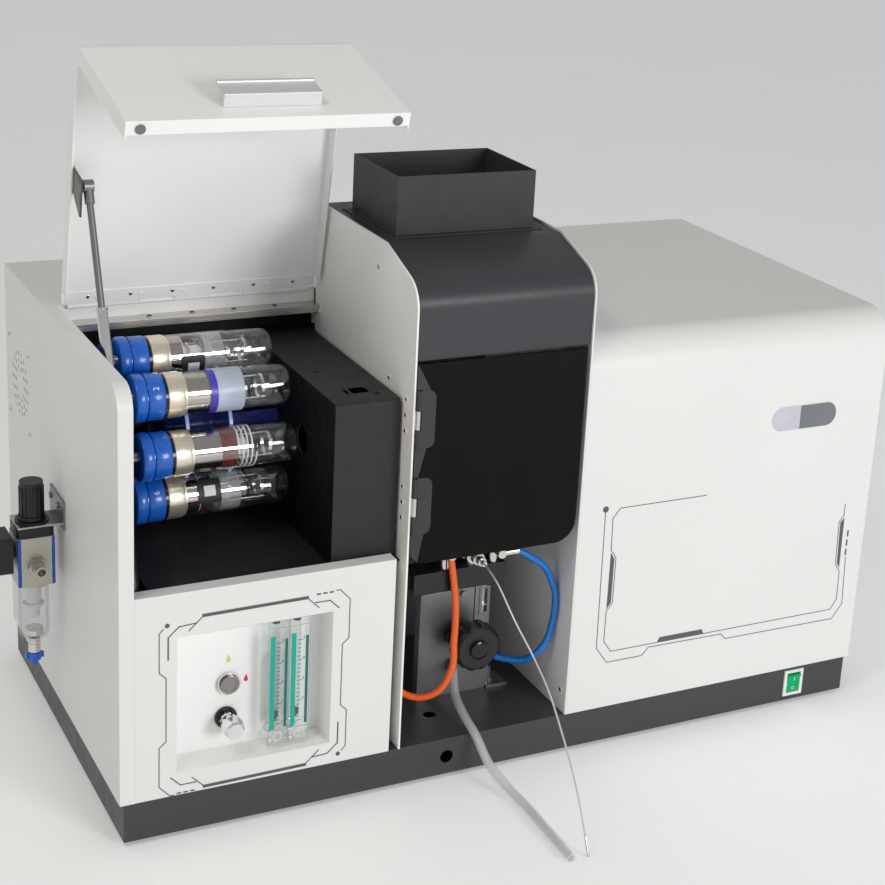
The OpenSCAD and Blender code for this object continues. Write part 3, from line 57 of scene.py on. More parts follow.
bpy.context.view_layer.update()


class Axis(Enum):
    """A direction of the instrument's frame."""

    X = (1.0, 0.0, 0.0)
    Y = (0.0, 1.0, 0.0)
    Z = (0.0, 0.0, 1.0)
    LEFT = (-1.0, 0.0, 0.0)
    FRONT = (0.0, -1.0, 0.0)
    DOWN = (0.0, 0.0, -1.0)

    def vector(self) -> Vector:
        """The axis as a unit vector."""
        return Vector(self.value)


class Grain(Enum):
    """The kinds of surface structure."""

    COAT = "textured powder coat"
    BRUSHED = "brushed metal"
    POLISHED = "polished metal"
    MOULDED = "moulded plastic"
    CLEAR = "clear plastic or glass"
    INK = "printed ink"
    RUBBER = "rubber"


def place(x: float, y: float, z: float) -> Vector:
    """A point in the front-left frame, as metres in the part's frame.

    Args:
        x: millimetres to the right of the left outer face.
        y: millimetres behind the front.
        z: millimetres above the bench.

    Returns:
        The point in metres.
    """
    return Vector(((x - SEAT_X) * MM, (y - SEAT_Y) * MM, z * MM))


class NodeWeb:
    """A material's node tree with short calls to add and join nodes."""

    def __init__(self, name: str) -> None:
        """Starts an empty material.

        Args:
            name: the material's name.
        """
        self.material = bpy.data.materials.new(name)
        self.material.use_nodes = True
        self.tree = self.material.node_tree
        self.tree.nodes.clear()
        self.shader = self.add("ShaderNodeBsdfPrincipled")
        output = self.add("ShaderNodeOutputMaterial")
        self.join(self.shader.outputs["BSDF"], output.inputs["Surface"])
        self.place = self.add("ShaderNodeTexCoord").outputs["Object"]

    def add(self, kind: str, **values: object) -> bpy.types.Node:
        """Adds a node.

        Args:
            kind: the node's type name.
            **values: attributes of the node.

        Returns:
            The new node.
        """
        node = self.tree.nodes.new(kind)
        for key, value in values.items():
            setattr(node, key, value)
        return node

    def join(self, a: Socket, b: Socket) -> None:
        """Joins an output to an input."""
        self.tree.links.new(a, b)

    def stretched(self, scale: Point) -> Socket:
        """The object's own coordinates scaled by axis.

        Args:
            scale: cycles in a metre along each axis.

        Returns:
            The scaled coordinates' socket.
        """
        node = self.add("ShaderNodeMapping")
        node.inputs["Scale"].default_value = scale
        self.join(self.place, node.inputs["Vector"])
        return node.outputs["Vector"]

    def noise(self, scale: float, detail: float = 3.0, at: Socket | None = None) -> Socket:
        """A noise pattern in object coordinates.

        Args:
            scale: cycles in a metre.
            detail: octaves.
            at: other coordinates, if any.

        Returns:
            The noise value's socket.
        """
        node = self.add("ShaderNodeTexNoise")
        node.inputs["Scale"].default_value = scale
        node.inputs["Detail"].default_value = detail
        self.join(at or self.place, node.inputs["Vector"])
        return node.outputs["Fac"]

    def spread(self, value: Socket, low: float, high: float, start: float = 0.3, stop: float = 0.7) -> Socket:
        """Maps a pattern to a range.

        Args:
            value: the pattern.
            low: the result at start.
            high: the result at stop.
            start: the pattern's low value.
            stop: the pattern's high value.

        Returns:
            The mapped value's socket.
        """
        node = self.add("ShaderNodeMapRange")
        for name, number in (("From Min", start), ("From Max", stop), ("To Min", low), ("To Max", high)):
            node.inputs[name].default_value = number
        self.join(value, node.inputs["Value"])
        return node.outputs["Result"]

    def tint(self, value: Socket, a: Point, b: Point) -> Socket:
        """Blends two colours by a pattern.

        Args:
            value: the pattern.
            a: the colour where the pattern is 0.
            b: the colour where the pattern is 1.

        Returns:
            The blended colour's socket.
        """
        node = self.add("ShaderNodeMix", data_type="RGBA")
        node.inputs["A"].default_value = (*a, 1.0)
        node.inputs["B"].default_value = (*b, 1.0)
        self.join(value, node.inputs["Factor"])
        return next(s for s in node.outputs if s.type == "RGBA")

    def relief(self, value: Socket, strength: float, depth_mm: float) -> None:
        """Turns a pattern into fine relief on the shader.

        Args:
            value: the height pattern.
            strength: how much of the relief is used.
            depth_mm: the height of the pattern.
        """
        node = self.add("ShaderNodeBump")
        node.inputs["Strength"].default_value = strength
        node.inputs["Distance"].default_value = depth_mm * MM
        self.join(value, node.inputs["Height"])
        self.join(node.outputs["Normal"], self.shader.inputs["Normal"])


@dataclass(frozen=True)
class Finish:
    """A surface finish: its colour, its gloss and the kind of its fine structure."""

    name: str
    colour: Point
    grain: Grain
    roughness: float = 0.4
    metallic: float = 0.0
    coat: float = 0.0
    ior: float = 1.46
    vary: float = 0.06
    along: Axis = Axis.X
    alpha: float = 1.0
    specular: float = 0.5

    def shade(self, factor: float) -> Point:
        """The colour made lighter or darker."""
        return tuple(min(1.0, c * factor) for c in self.colour)

    def material(self) -> bpy.types.Material:
        """The material of this finish, made once.

        Returns:
            The Blender material.
        """
        found = bpy.data.materials.get(self.name)
        if found is not None:
            return found
        web = NodeWeb(self.name)
        shader = web.shader
        shader.inputs["Metallic"].default_value = self.metallic
        shader.inputs["IOR"].default_value = self.ior
        shader.inputs["Specular IOR Level"].default_value = self.specular
        if self.coat:
            shader.inputs["Coat Weight"].default_value = self.coat
            shader.inputs["Coat Roughness"].default_value = 0.08
        if self.alpha < 1.0:
            shader.inputs["Alpha"].default_value = self.alpha
        {
            Grain.COAT: self._coat,
            Grain.BRUSHED: self._brushed,
            Grain.POLISHED: self._polished,
            Grain.MOULDED: self._moulded,
            Grain.CLEAR: self._clear,
            Grain.INK: self._ink,
            Grain.RUBBER: self._rubber,
        }[self.grain](web)
        return web.material

    def _colour(self, web: NodeWeb, pattern: Socket) -> None:
        """Joins a colour that varies with a pattern."""
        mixed = web.tint(pattern, self.shade(1.0 - self.vary), self.shade(1.0 + self.vary))
        web.join(mixed, web.shader.inputs["Base Color"])

    def _rough(self, web: NodeWeb, pattern: Socket, share: float) -> None:
        """Joins a roughness that varies with a pattern."""
        low, high = self.roughness * (1 - share), min(1.0, self.roughness * (1 + share))
        web.join(web.spread(pattern, low, high), web.shader.inputs["Roughness"])

    def _coat(self, web: NodeWeb) -> None:
        """Fine orange-peel of powder coat with faint clouds of tone.

        Args:
            web: the material's nodes.
        """
        self._colour(web, web.spread(web.noise(5.0, 4.0), 0.0, 1.0))
        self._rough(web, web.noise(60.0, 3.0), 0.12)
        web.relief(web.noise(1300.0, 2.0), 0.28, 0.09)

    def _brushed(self, web: NodeWeb) -> None:
        """Hairlines along one axis.

        Args:
            web: the material's nodes.
        """
        scale = tuple(14.0 if a else 2200.0 for a in self.along.value)
        lines = web.noise(1.0, 4.0, web.stretched(scale))
        self._colour(web, web.spread(lines, 0.0, 1.0))
        self._rough(web, lines, 0.14)
        web.relief(lines, 0.08, 0.03)

    def _polished(self, web: NodeWeb) -> None:
        """Bright metal with smudges and a few fine scratches.

        Args:
            web: the material's nodes.
        """
        self._colour(web, web.spread(web.noise(18.0, 3.0), 0.0, 1.0))
        self._rough(web, web.noise(70.0, 5.0), 0.5)
        web.relief(web.noise(1.0, 2.0, web.stretched((300.0, 2500.0, 2500.0))), 0.05, 0.02)

    def _moulded(self, web: NodeWeb) -> None:
        """The fine eroded texture of a moulded part.

        Args:
            web: the material's nodes.
        """
        self._colour(web, web.spread(web.noise(30.0, 3.0), 0.0, 1.0))
        self._rough(web, web.noise(250.0, 3.0), 0.2)
        web.relief(web.noise(2600.0, 2.0), 0.18, 0.04)

    def _clear(self, web: NodeWeb) -> None:
        """Clear walls: see-through face on and glossy at a slant, with a touch of haze.

        Args:
            web: the material's nodes.
        """
        self._colour(web, web.spread(web.noise(25.0, 2.0), 0.0, 1.0))
        self._rough(web, web.noise(45.0, 5.0), 0.5)
        slant = web.add("ShaderNodeLayerWeight")
        slant.inputs["Blend"].default_value = 0.5
        rise = web.add("ShaderNodeMath", operation="POWER")
        web.join(slant.outputs["Facing"], rise.inputs[0])
        rise.inputs[1].default_value = 4.5
        web.join(web.spread(rise.outputs[0], self.alpha, 1.0, 0.0, 1.0), web.shader.inputs["Alpha"])

    def _ink(self, web: NodeWeb) -> None:
        """Screen-printed ink with a slight mottle.

        Args:
            web: the material's nodes.
        """
        self._colour(web, web.spread(web.noise(900.0, 3.0), 0.0, 1.0))
        self._rough(web, web.noise(500.0, 2.0), 0.15)
        web.relief(web.noise(3000.0, 2.0), 0.1, 0.02)

    def _rubber(self, web: NodeWeb) -> None:
        """Matt rubber with bloom.

        Args:
            web: the material's nodes.
        """
        self._colour(web, web.spread(web.noise(40.0, 5.0), 0.0, 1.0))
        self._rough(web, web.noise(120.0, 4.0), 0.2)
        web.relief(web.noise(900.0, 4.0), 0.2, 0.06)


class Paint:
    """Every finish of the instrument."""

    PANEL = Finish("panel_coat", (0.80, 0.80, 0.79), Grain.COAT, 0.42, vary=0.012)
    # A paler, warmer copy of the white panel coat: painted light on the tower's left panel.
    LIT_TOWER_PANEL = Finish("tower_panel_coat_painted_light", (0.94, 0.925, 0.89), Grain.COAT, 0.42, vary=0.012)
    # A paler copy of the white panel coat: painted light on the lid, inside the control recess and on the
    # ledge's flange.
    LIT_PANEL = Finish("panel_coat_painted_light", (0.93, 0.93, 0.92), Grain.COAT, 0.4, vary=0.012)
    BASE = Finish("base_coat", (0.046, 0.046, 0.053), Grain.COAT, 0.4, vary=0.08)
    LINER = Finish("liner_coat", (0.020, 0.019, 0.022), Grain.COAT, 0.55, vary=0.1, specular=0.3)
    OPTICS = Finish("optics_coat", (0.030, 0.030, 0.031), Grain.COAT, 0.55, vary=0.08, specular=0.25)
    COVER = Finish("cover_coat", (0.050, 0.052, 0.058), Grain.COAT, 0.36, vary=0.07, specular=0.3)
    CHIMNEY = Finish("chimney_coat", (0.041, 0.042, 0.043), Grain.COAT, 0.5, vary=0.08, specular=0.35)
    BACK = Finish("backplate_coat", (0.085, 0.086, 0.09), Grain.COAT, 0.5, vary=0.08)
    STEEL = Finish("brushed_steel", (0.62, 0.62, 0.61), Grain.BRUSHED, 0.3, 1.0, vary=0.04)
    PLATE = Finish("zinc_plate", (0.25, 0.252, 0.265), Grain.BRUSHED, 0.4, 0.85, vary=0.04, along=Axis.Z)
    NICKEL = Finish("nickel", (0.72, 0.71, 0.68), Grain.POLISHED, 0.16, 1.0)
    CHROME = Finish("chrome", (0.82, 0.82, 0.83), Grain.POLISHED, 0.08, 1.0)
    ANODISED = Finish("satin_anodised", (0.76, 0.77, 0.78), Grain.BRUSHED, 0.42, 0.55, vary=0.03)
    LEDGE = Finish("ledge_steel", (0.58, 0.56, 0.54), Grain.BRUSHED, 0.28, 0.9, vary=0.06)
    CHAMPAGNE = Finish("champagne_collar", (0.80, 0.73, 0.60), Grain.BRUSHED, 0.3, 0.75, vary=0.04)
    SILVER = Finish("silver_casting", (0.55, 0.53, 0.46), Grain.BRUSHED, 0.42, 0.5, vary=0.03, along=Axis.Z)
    BLACK = Finish("black_plastic", (0.012, 0.012, 0.013), Grain.MOULDED, 0.36)
    GLOSS_BLACK = Finish("gloss_black", (0.008, 0.008, 0.009), Grain.MOULDED, 0.16)
    HINGE = Finish("hinge_black", (0.03, 0.03, 0.032), Grain.MOULDED, 0.45)
    STUD = Finish("grey_rubber", (0.17, 0.17, 0.172), Grain.RUBBER, 0.5)
    DARK_STEEL = Finish("dark_steel", (0.30, 0.285, 0.28), Grain.BRUSHED, 0.3, 0.9, vary=0.1)
    BLUED = Finish("blued_steel", (0.11, 0.105, 0.095), Grain.POLISHED, 0.3, 0.8)
    FITTING = Finish("brass_nickel", (0.52, 0.50, 0.46), Grain.POLISHED, 0.2, 1.0)
    # A darker copy of the optics coat: painted shade on the optics box's left face.
    OPTICS_SHADE = Finish("optics_coat_painted_shade", (0.008, 0.008, 0.009), Grain.COAT, 0.6, vary=0.08, specular=0.15)
    RUBBER = Finish("black_rubber", (0.015, 0.015, 0.015), Grain.RUBBER, 0.7)
    SOCKET = Finish("cap_blue", (0.012, 0.13, 0.60), Grain.MOULDED, 0.28, coat=0.25)
    WHITE = Finish("white_plastic", (0.82, 0.82, 0.82), Grain.MOULDED, 0.25)
    WHITE_INK = Finish("white_ink", (0.85, 0.85, 0.85), Grain.INK, 0.5)
    GREY_INK = Finish("grey_ink", (0.10, 0.10, 0.105), Grain.INK, 0.5)
    DARK_INK = Finish("dark_ink", (0.02, 0.022, 0.026), Grain.INK, 0.5)
    YELLOW_INK = Finish("yellow_ink", (0.72, 0.66, 0.06), Grain.INK, 0.5)
    RED_INK = Finish("red_ink", (0.68, 0.03, 0.09), Grain.INK, 0.5)
    TEAL = Finish("teal_film", (0.0, 0.40, 0.31), Grain.INK, 0.4)
    DEEP_TEAL = Finish("deep_teal_film", (0.0, 0.16, 0.13), Grain.INK, 0.4)
    SMOKE = Finish(
        "smoke_sheet", (0.0045, 0.0045, 0.004), Grain.CLEAR, 0.05,
        ior=1.49, vary=0.1, alpha=0.93, specular=0.12,
    )
    GLASS = Finish(
        "clear_envelope", (0.93, 0.95, 0.97), Grain.CLEAR, 0.03, 1.0, ior=1.46, vary=0.01, alpha=0.07,
    )
    ACRYLIC = Finish(
        "clear_acrylic", (0.80, 0.93, 0.90), Grain.CLEAR, 0.05, 1.0, ior=1.45, vary=0.02, alpha=0.08,
    )
    # Pale see-through strips on the meters' clear edges: painted highlight.
    EDGE = Finish("acrylic_edge_painted_highlight", (0.42, 0.52, 0.51), Grain.CLEAR, 0.2, ior=1.45, vary=0.05, alpha=0.55)
    BOWL = Finish("clear_bowl", (0.46, 0.48, 0.50), Grain.CLEAR, 0.06, 0.8, ior=1.5, vary=0.02, alpha=0.06)
    HOLDER = Finish("holder_blue", (0.045, 0.075, 0.46), Grain.CLEAR, 0.16, ior=1.5, vary=0.05, alpha=0.42)
    # A paler, denser copy of the blue holder: painted highlight on the discs' edges.
    HOLDER_GLINT = Finish("holder_edge", (0.36, 0.42, 0.78), Grain.CLEAR, 0.25, ior=1.5, vary=0.05, alpha=0.8)
    ORANGE = Finish("orange_tube", (0.90, 0.13, 0.010), Grain.MOULDED, 0.3, coat=0.3, vary=0.03)
    BLUE = Finish("blue_tube", (0.0, 0.17, 0.60), Grain.MOULDED, 0.3, coat=0.3, vary=0.03)
    PVC = Finish(
        "clear_hose", (0.74, 0.76, 0.78), Grain.CLEAR, 0.16, coat=0.5, ior=1.5, vary=0.04, alpha=0.42,
    )
    NYLON = Finish("nylon_white", (0.60, 0.61, 0.64), Grain.CLEAR, 0.3, ior=1.5, vary=0.03, alpha=0.93)
    ROCKER = Finish("rocker_cap", (0.0, 0.44, 0.15), Grain.MOULDED, 0.3, specular=0.15)
    SHIELD = Finish("lamp_shield", (0.46, 0.42, 0.38), Grain.POLISHED, 0.13, 1.0)
    CERAMIC = Finish("lamp_ceramic", (0.80, 0.81, 0.83), Grain.MOULDED, 0.35)
    FROST = Finish("lamp_frost", (0.66, 0.68, 0.71), Grain.CLEAR, 0.3, ior=1.4, vary=0.12, alpha=0.32)
    BAND_PURPLE = Finish("band_purple", (0.07, 0.05, 0.52), Grain.INK, 0.3)
    BAND_PALE = Finish("band_pale", (0.55, 0.62, 0.76), Grain.CLEAR, 0.32, ior=1.4, vary=0.16, alpha=0.86)
    BAND_RED = Finish("band_red", (0.20, 0.03, 0.028), Grain.CLEAR, 0.2, ior=1.45, vary=0.1, alpha=0.75)
    MODULE = Finish("module_paint", (0.22, 0.23, 0.25), Grain.COAT, 0.4)
    BADGE_WHITE = Finish("badge_white", (0.55, 0.55, 0.63), Grain.MOULDED, 0.2, coat=0.5)
    BADGE_GREY = Finish("badge_grey", (0.16, 0.17, 0.20), Grain.MOULDED, 0.22, coat=0.5)
    STRIP_BLUE = Finish("strip_blue", (0.012, 0.09, 0.52), Grain.MOULDED, 0.3)
    # Near-black for the hexagon discs in the screw heads: painted shade for the sockets' depth.
    RECESS_SHADE = Finish("screw_recess_painted_shade", (0.01, 0.01, 0.01), Grain.MOULDED, 0.6)


class Shape:
    """A mesh in the making, in millimetres in the front-left frame."""

    def __init__(self) -> None:
        """Starts with no faces and the first material."""
        self.bm = bmesh.new()
        self.slot = 0

    def face(self, corners: list[bmesh.types.BMVert]) -> None:
        """Adds one face in the current material, unless it is there already.

        Args:
            corners: the face's vertices in order.
        """
        try:
            self.bm.faces.new(corners).material_index = self.slot
        except ValueError:
            pass

    def box(self, low: Point, high: Point) -> "Shape":
        """Adds a block between two corners.

        Args:
            low: the corner nearest the origin.
            high: the opposite corner.

        Returns:
            The shape itself.
        """
        xs, ys, zs = zip(low, high)
        v = [self.bm.verts.new((x, y, z)) for x in xs for y in ys for z in zs]
        for q in ((0, 1, 3, 2), (4, 6, 7, 5), (0, 4, 5, 1), (2, 3, 7, 6), (0, 2, 6, 4), (1, 5, 7, 3)):
            self.face([v[i] for i in q])
        return self

    def prism(self, outline: list[Flat], axis: Axis, start: float, stop: float) -> "Shape":
        """Draws a flat outline out along an axis.

        Args:
            outline: points in the two other axes, in cyclic order.
            axis: the direction of the walls.
            start: the place of the first end.
            stop: the place of the second end.

        Returns:
            The shape itself.
        """
        def at(a: float, b: float, c: float) -> Point:
            """Puts an outline point and a place along the axis in order."""
            return {Axis.X: (c, a, b), Axis.Y: (a, c, b), Axis.Z: (a, b, c)}[axis]

        low = [self.bm.verts.new(at(a, b, start)) for a, b in outline]
        high = [self.bm.verts.new(at(a, b, stop)) for a, b in outline]
        n = len(outline)
        self.face(low)
        self.face(high[::-1])
        for i in range(n):
            self.face([low[i], high[i], high[(i + 1) % n], low[(i + 1) % n]])
        return self

    def lathe(self, profile: list[Flat], origin: Point, axis: Axis, steps: int = 48) -> "Shape":
        """Turns a profile of (radius, height) points about an axis.

        Args:
            profile: the points, where radius 0 is a pole; the run closes if both ends are off the axis.
            origin: the point of height 0.
            axis: the direction of the heights.
            steps: sides of the round.

        Returns:
            The shape itself.
        """
        w = axis.vector()
        u = w.orthogonal().normalized()
        v = w.cross(u)
        o = Vector(origin)
        rings = []
        for r, h in profile:
            if r < 1e-6:
                rings.append([self.bm.verts.new(o + w * h)])
            else:
                rings.append([
                    self.bm.verts.new(o + w * h + (u * math.cos(t) + v * math.sin(t)) * r)
                    for t in (2 * math.pi * k / steps for k in range(steps))
                ])
        pairs = list(zip(rings, rings[1:]))
        if len(rings[0]) > 1 and len(rings[-1]) > 1:
            pairs.append((rings[-1], rings[0]))
        for a, b in pairs:
            for k in range(steps):
                m = (k + 1) % steps
                if len(a) == 1 and len(b) > 1:
                    self.face([a[0], b[m], b[k]])
                elif len(b) == 1 and len(a) > 1:
                    self.face([a[k], a[m], b[0]])
                elif len(a) > 1 and len(b) > 1:
                    self.face([a[k], a[m], b[m], b[k]])
        return self

    def tube(self, path: list[Vector], radius: float, sides: int = 24, bore: float = 0.0) -> "Shape":
        """Sweeps a round section along a path.

        Args:
            path: the ring centres.
            radius: the outer radius.
            sides: sides of the section.
            bore: the inner radius, or 0 for a closed end.

        Returns:
            The shape itself.
        """
        last = len(path) - 1
        tangents = [(path[min(i + 1, last)] - path[max(i - 1, 0)]).normalized() for i in range(last + 1)]
        side = tangents[0].orthogonal().normalized()
        sections: list[list[list]] = [[], []]
        for point, tangent in zip(path, tangents):
            side = (side - tangent * side.dot(tangent)).normalized()
            other = tangent.cross(side)
            for group, r in zip(sections, (radius, bore)):
                if r:
                    group.append([
                        self.bm.verts.new(point + (side * math.cos(t) + other * math.sin(t)) * r)
                        for t in (2 * math.pi * k / sides for k in range(sides))
                    ])
        for group, flip in zip(sections, (False, True)):
            for a, b in zip(group, group[1:]):
                for k in range(sides):
                    m = (k + 1) % sides
                    quad = [a[k], a[m], b[m], b[k]]
                    self.face(quad[::-1] if flip else quad)
        outer, inner = sections
        for end in (0, -1):
            if inner:
                for k in range(sides):
                    m = (k + 1) % sides
                    self.face([outer[end][k], outer[end][m], inner[end][m], inner[end][k]])
            else:
                self.face(outer[end])
        return self

    def digits(self, text: str, size: float, matrix: Matrix, depth: float = 0.3) -> "Shape":
        """Adds plain numbers as thin raised strokes.

        Args:
            text: the numbers.
            size: height of the line of text.
            matrix: turns the text's plane into the frame.
            depth: how thick the strokes are.

        Returns:
            The shape itself.
        """
        curve = bpy.data.curves.new("digits", "FONT")
        curve.body = text
        curve.size = size
        curve.extrude = depth / 2
        curve.resolution_u = 3
        curve.align_x = "CENTER"
        curve.align_y = "CENTER"
        carrier = bpy.data.objects.new("digits", curve)
        bpy.context.scene.collection.objects.link(carrier)
        bpy.context.view_layer.update()
        made = bpy.data.meshes.new_from_object(carrier.evaluated_get(bpy.context.evaluated_depsgraph_get()))
        made.transform(matrix)
        before = len(self.bm.faces)
        self.bm.from_mesh(made)
        self.bm.faces.ensure_lookup_table()
        for f in self.bm.faces[before:]:
            f.material_index = self.slot
        bpy.data.objects.remove(carrier)
        bpy.data.curves.remove(curve)
        bpy.data.meshes.remove(made)
        return self

    def turn(self, matrix: Matrix) -> "Shape":
        """Moves all that is drawn so far."""
        bmesh.ops.transform(self.bm, matrix=matrix, verts=self.bm.verts)
        return self


@dataclass
class Workshop:
    """Turns shapes into pieces that ride on the frame, and keeps count."""

    count: int = 0

    def dress(
        self,
        node: str,
        finish: Finish,
        bevel: float = 0.35,
        others: tuple[Finish, ...] = (),
        pick: Picker | None = None,
        flatten: bool = True,
    ) -> None:
        """Gives a solid of the frame its finish and softened edges.

        Args:
            node: the solid's name.
            finish: the main finish.
            bevel: width of the softened edges in millimetres, or 0.
            others: further finishes.
            pick: a function of a face's middle in millimetres that gives the finish's number.
            flatten: merges the triangles of flat faces; a face with very many holes keeps them.
        """
        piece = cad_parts[node]
        mesh = piece.data
        mesh.materials.clear()
        for one in (finish, *others):
            mesh.materials.append(one.material())
        if pick is not None:
            for poly in mesh.polygons:
                c = poly.center / MM
                poly.material_index = pick(Vector((c.x + SEAT_X, c.y + SEAT_Y, c.z)))
        else:
            mesh.polygons.foreach_set("material_index", [0] * len(mesh.polygons))
        worn = mesh.attributes.get("custom_normal")
        if worn is not None:
            mesh.attributes.remove(worn)
        weld = piece.modifiers.new("weld", "WELD")
        weld.merge_threshold = 0.00001
        if flatten:
            flat = piece.modifiers.new("flat", "DECIMATE")
            flat.decimate_type = "DISSOLVE"
            flat.angle_limit = math.radians(0.4)
            flat.delimit = {"MATERIAL"}
        if bevel:
            self._soften(piece, bevel)
        else:
            mesh.shade_flat()
        LOG.info("dressed %s in %s", node, finish.name)

    @staticmethod
    def _soften(piece: bpy.types.Object, width: float, segments: int = 2) -> None:
        """Adds the rounded edges and the matching normals.

        Args:
            piece: the piece.
            width: the edges' width in millimetres.
            segments: the edges' steps.
        """
        piece.data.shade_smooth()
        edge = piece.modifiers.new("edge", "BEVEL")
        edge.width = width * MM
        edge.segments = segments
        edge.limit_method = "ANGLE"
        edge.angle_limit = math.radians(31)
        edge.use_clamp_overlap = True
        edge.miter_outer = "MITER_ARC"
        even = piece.modifiers.new("even", "WEIGHTED_NORMAL")
        even.keep_sharp = True
        even.weight = 60

    def make(
        self,
        shape: Shape,
        name: str,
        finishes: Finish | tuple[Finish, ...],
        body: str,
        slot: str,
        replaces: tuple[str, ...] = (),
        bevel: float = 0.0,
        segments: int = 2,
        crease: float = 40.0,
    ) -> bpy.types.Object:
        """Makes a piece of a shape.

        Args:
            shape: the shape in millimetres.
            name: the piece's name.
            finishes: its finish, or several by number.
            body: the body it rides on.
            slot: the record's material slot; not used.
            replaces: solids that it stands for.
            bevel: width of softened edges in millimetres.
            segments: steps of the softened edges.
            crease: the angle in degrees above which an edge stays sharp.

        Returns:
            The new object.
        """
        bmesh.ops.remove_doubles(shape.bm, verts=shape.bm.verts, dist=1e-4)
        bmesh.ops.recalc_face_normals(shape.bm, faces=shape.bm.faces)
        mesh = bpy.data.meshes.new(name)
        shape.bm.to_mesh(mesh)
        shape.bm.free()
        mesh.transform(Matrix.Diagonal((MM, MM, MM, 1.0)) @ Matrix.Translation((-SEAT_X, -SEAT_Y, 0.0)))
        for one in finishes if isinstance(finishes, tuple) else (finishes,):
            mesh.materials.append(one.material())
        mesh.shade_smooth()
        mesh.set_sharp_from_angle(angle=math.radians(crease))
        piece = bpy.data.objects.new(name, mesh)
        bpy.context.scene.collection.objects.link(piece)
        if bevel:
            self._soften(piece, bevel, segments)
        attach(piece, body)
        if replaces:
            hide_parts(*replaces)
        self.count += 1
        LOG.info("made %s on %s", name, body)
        return piece


def round_outline(cx: float, cz: float, w: float, h: float, r: float, steps: int = 8) -> list[Flat]:
    """A rectangle with round corners.

    Args:
        cx: middle in the first axis.
        cz: middle in the second axis.
        w: width.
        h: height.
        r: corner radius.
        steps: points of each corner.

    Returns:
        The outline's points.
    """
    points = []
    for sx, sz, start in ((1, 1, 0), (-1, 1, 90), (-1, -1, 180), (1, -1, 270)):
        for k in range(steps + 1):
            t = math.radians(start + 90 * k / steps)
            points.append((cx + sx * (w / 2 - r) + r * math.cos(t), cz + sz * (h / 2 - r) + r * math.sin(t)))
    return points


def screw_head(shape: Shape, at: Point, axis: Axis, radius: float, height: float = 1.0) -> None:
    """Adds a domed screw head with a shallow dish and a thin dark hexagon disc in it, painted shade for the
    hexagon recess.

    Args:
        shape: where it is drawn; number 0 is the head and number 1 the dark hexagon disc of painted shade.
        at: the middle of its seat.
        axis: the way it faces.
        radius: its radius.
        height: how far it stands out.
    """
    hexagon = radius * 0.5
    shape.slot = 0
    shape.lathe([
        (0, -0.02), (radius, -0.02), (radius, height * 0.45), (radius * 0.86, height * 0.85),
        (radius * 0.66, height), (hexagon * 1.1, height), (hexagon, height * 0.86), (0, height * 0.86),
    ], at, axis, 20)
    # The recess is a thin near-black hexagon disc: painted shade.
    shape.slot = 1
    shape.lathe([
        (0, height * 0.87), (hexagon, height * 0.87), (hexagon * 0.98, height * 0.93), (0, height * 0.93),
    ], at, axis, 6)
    shape.slot = 0


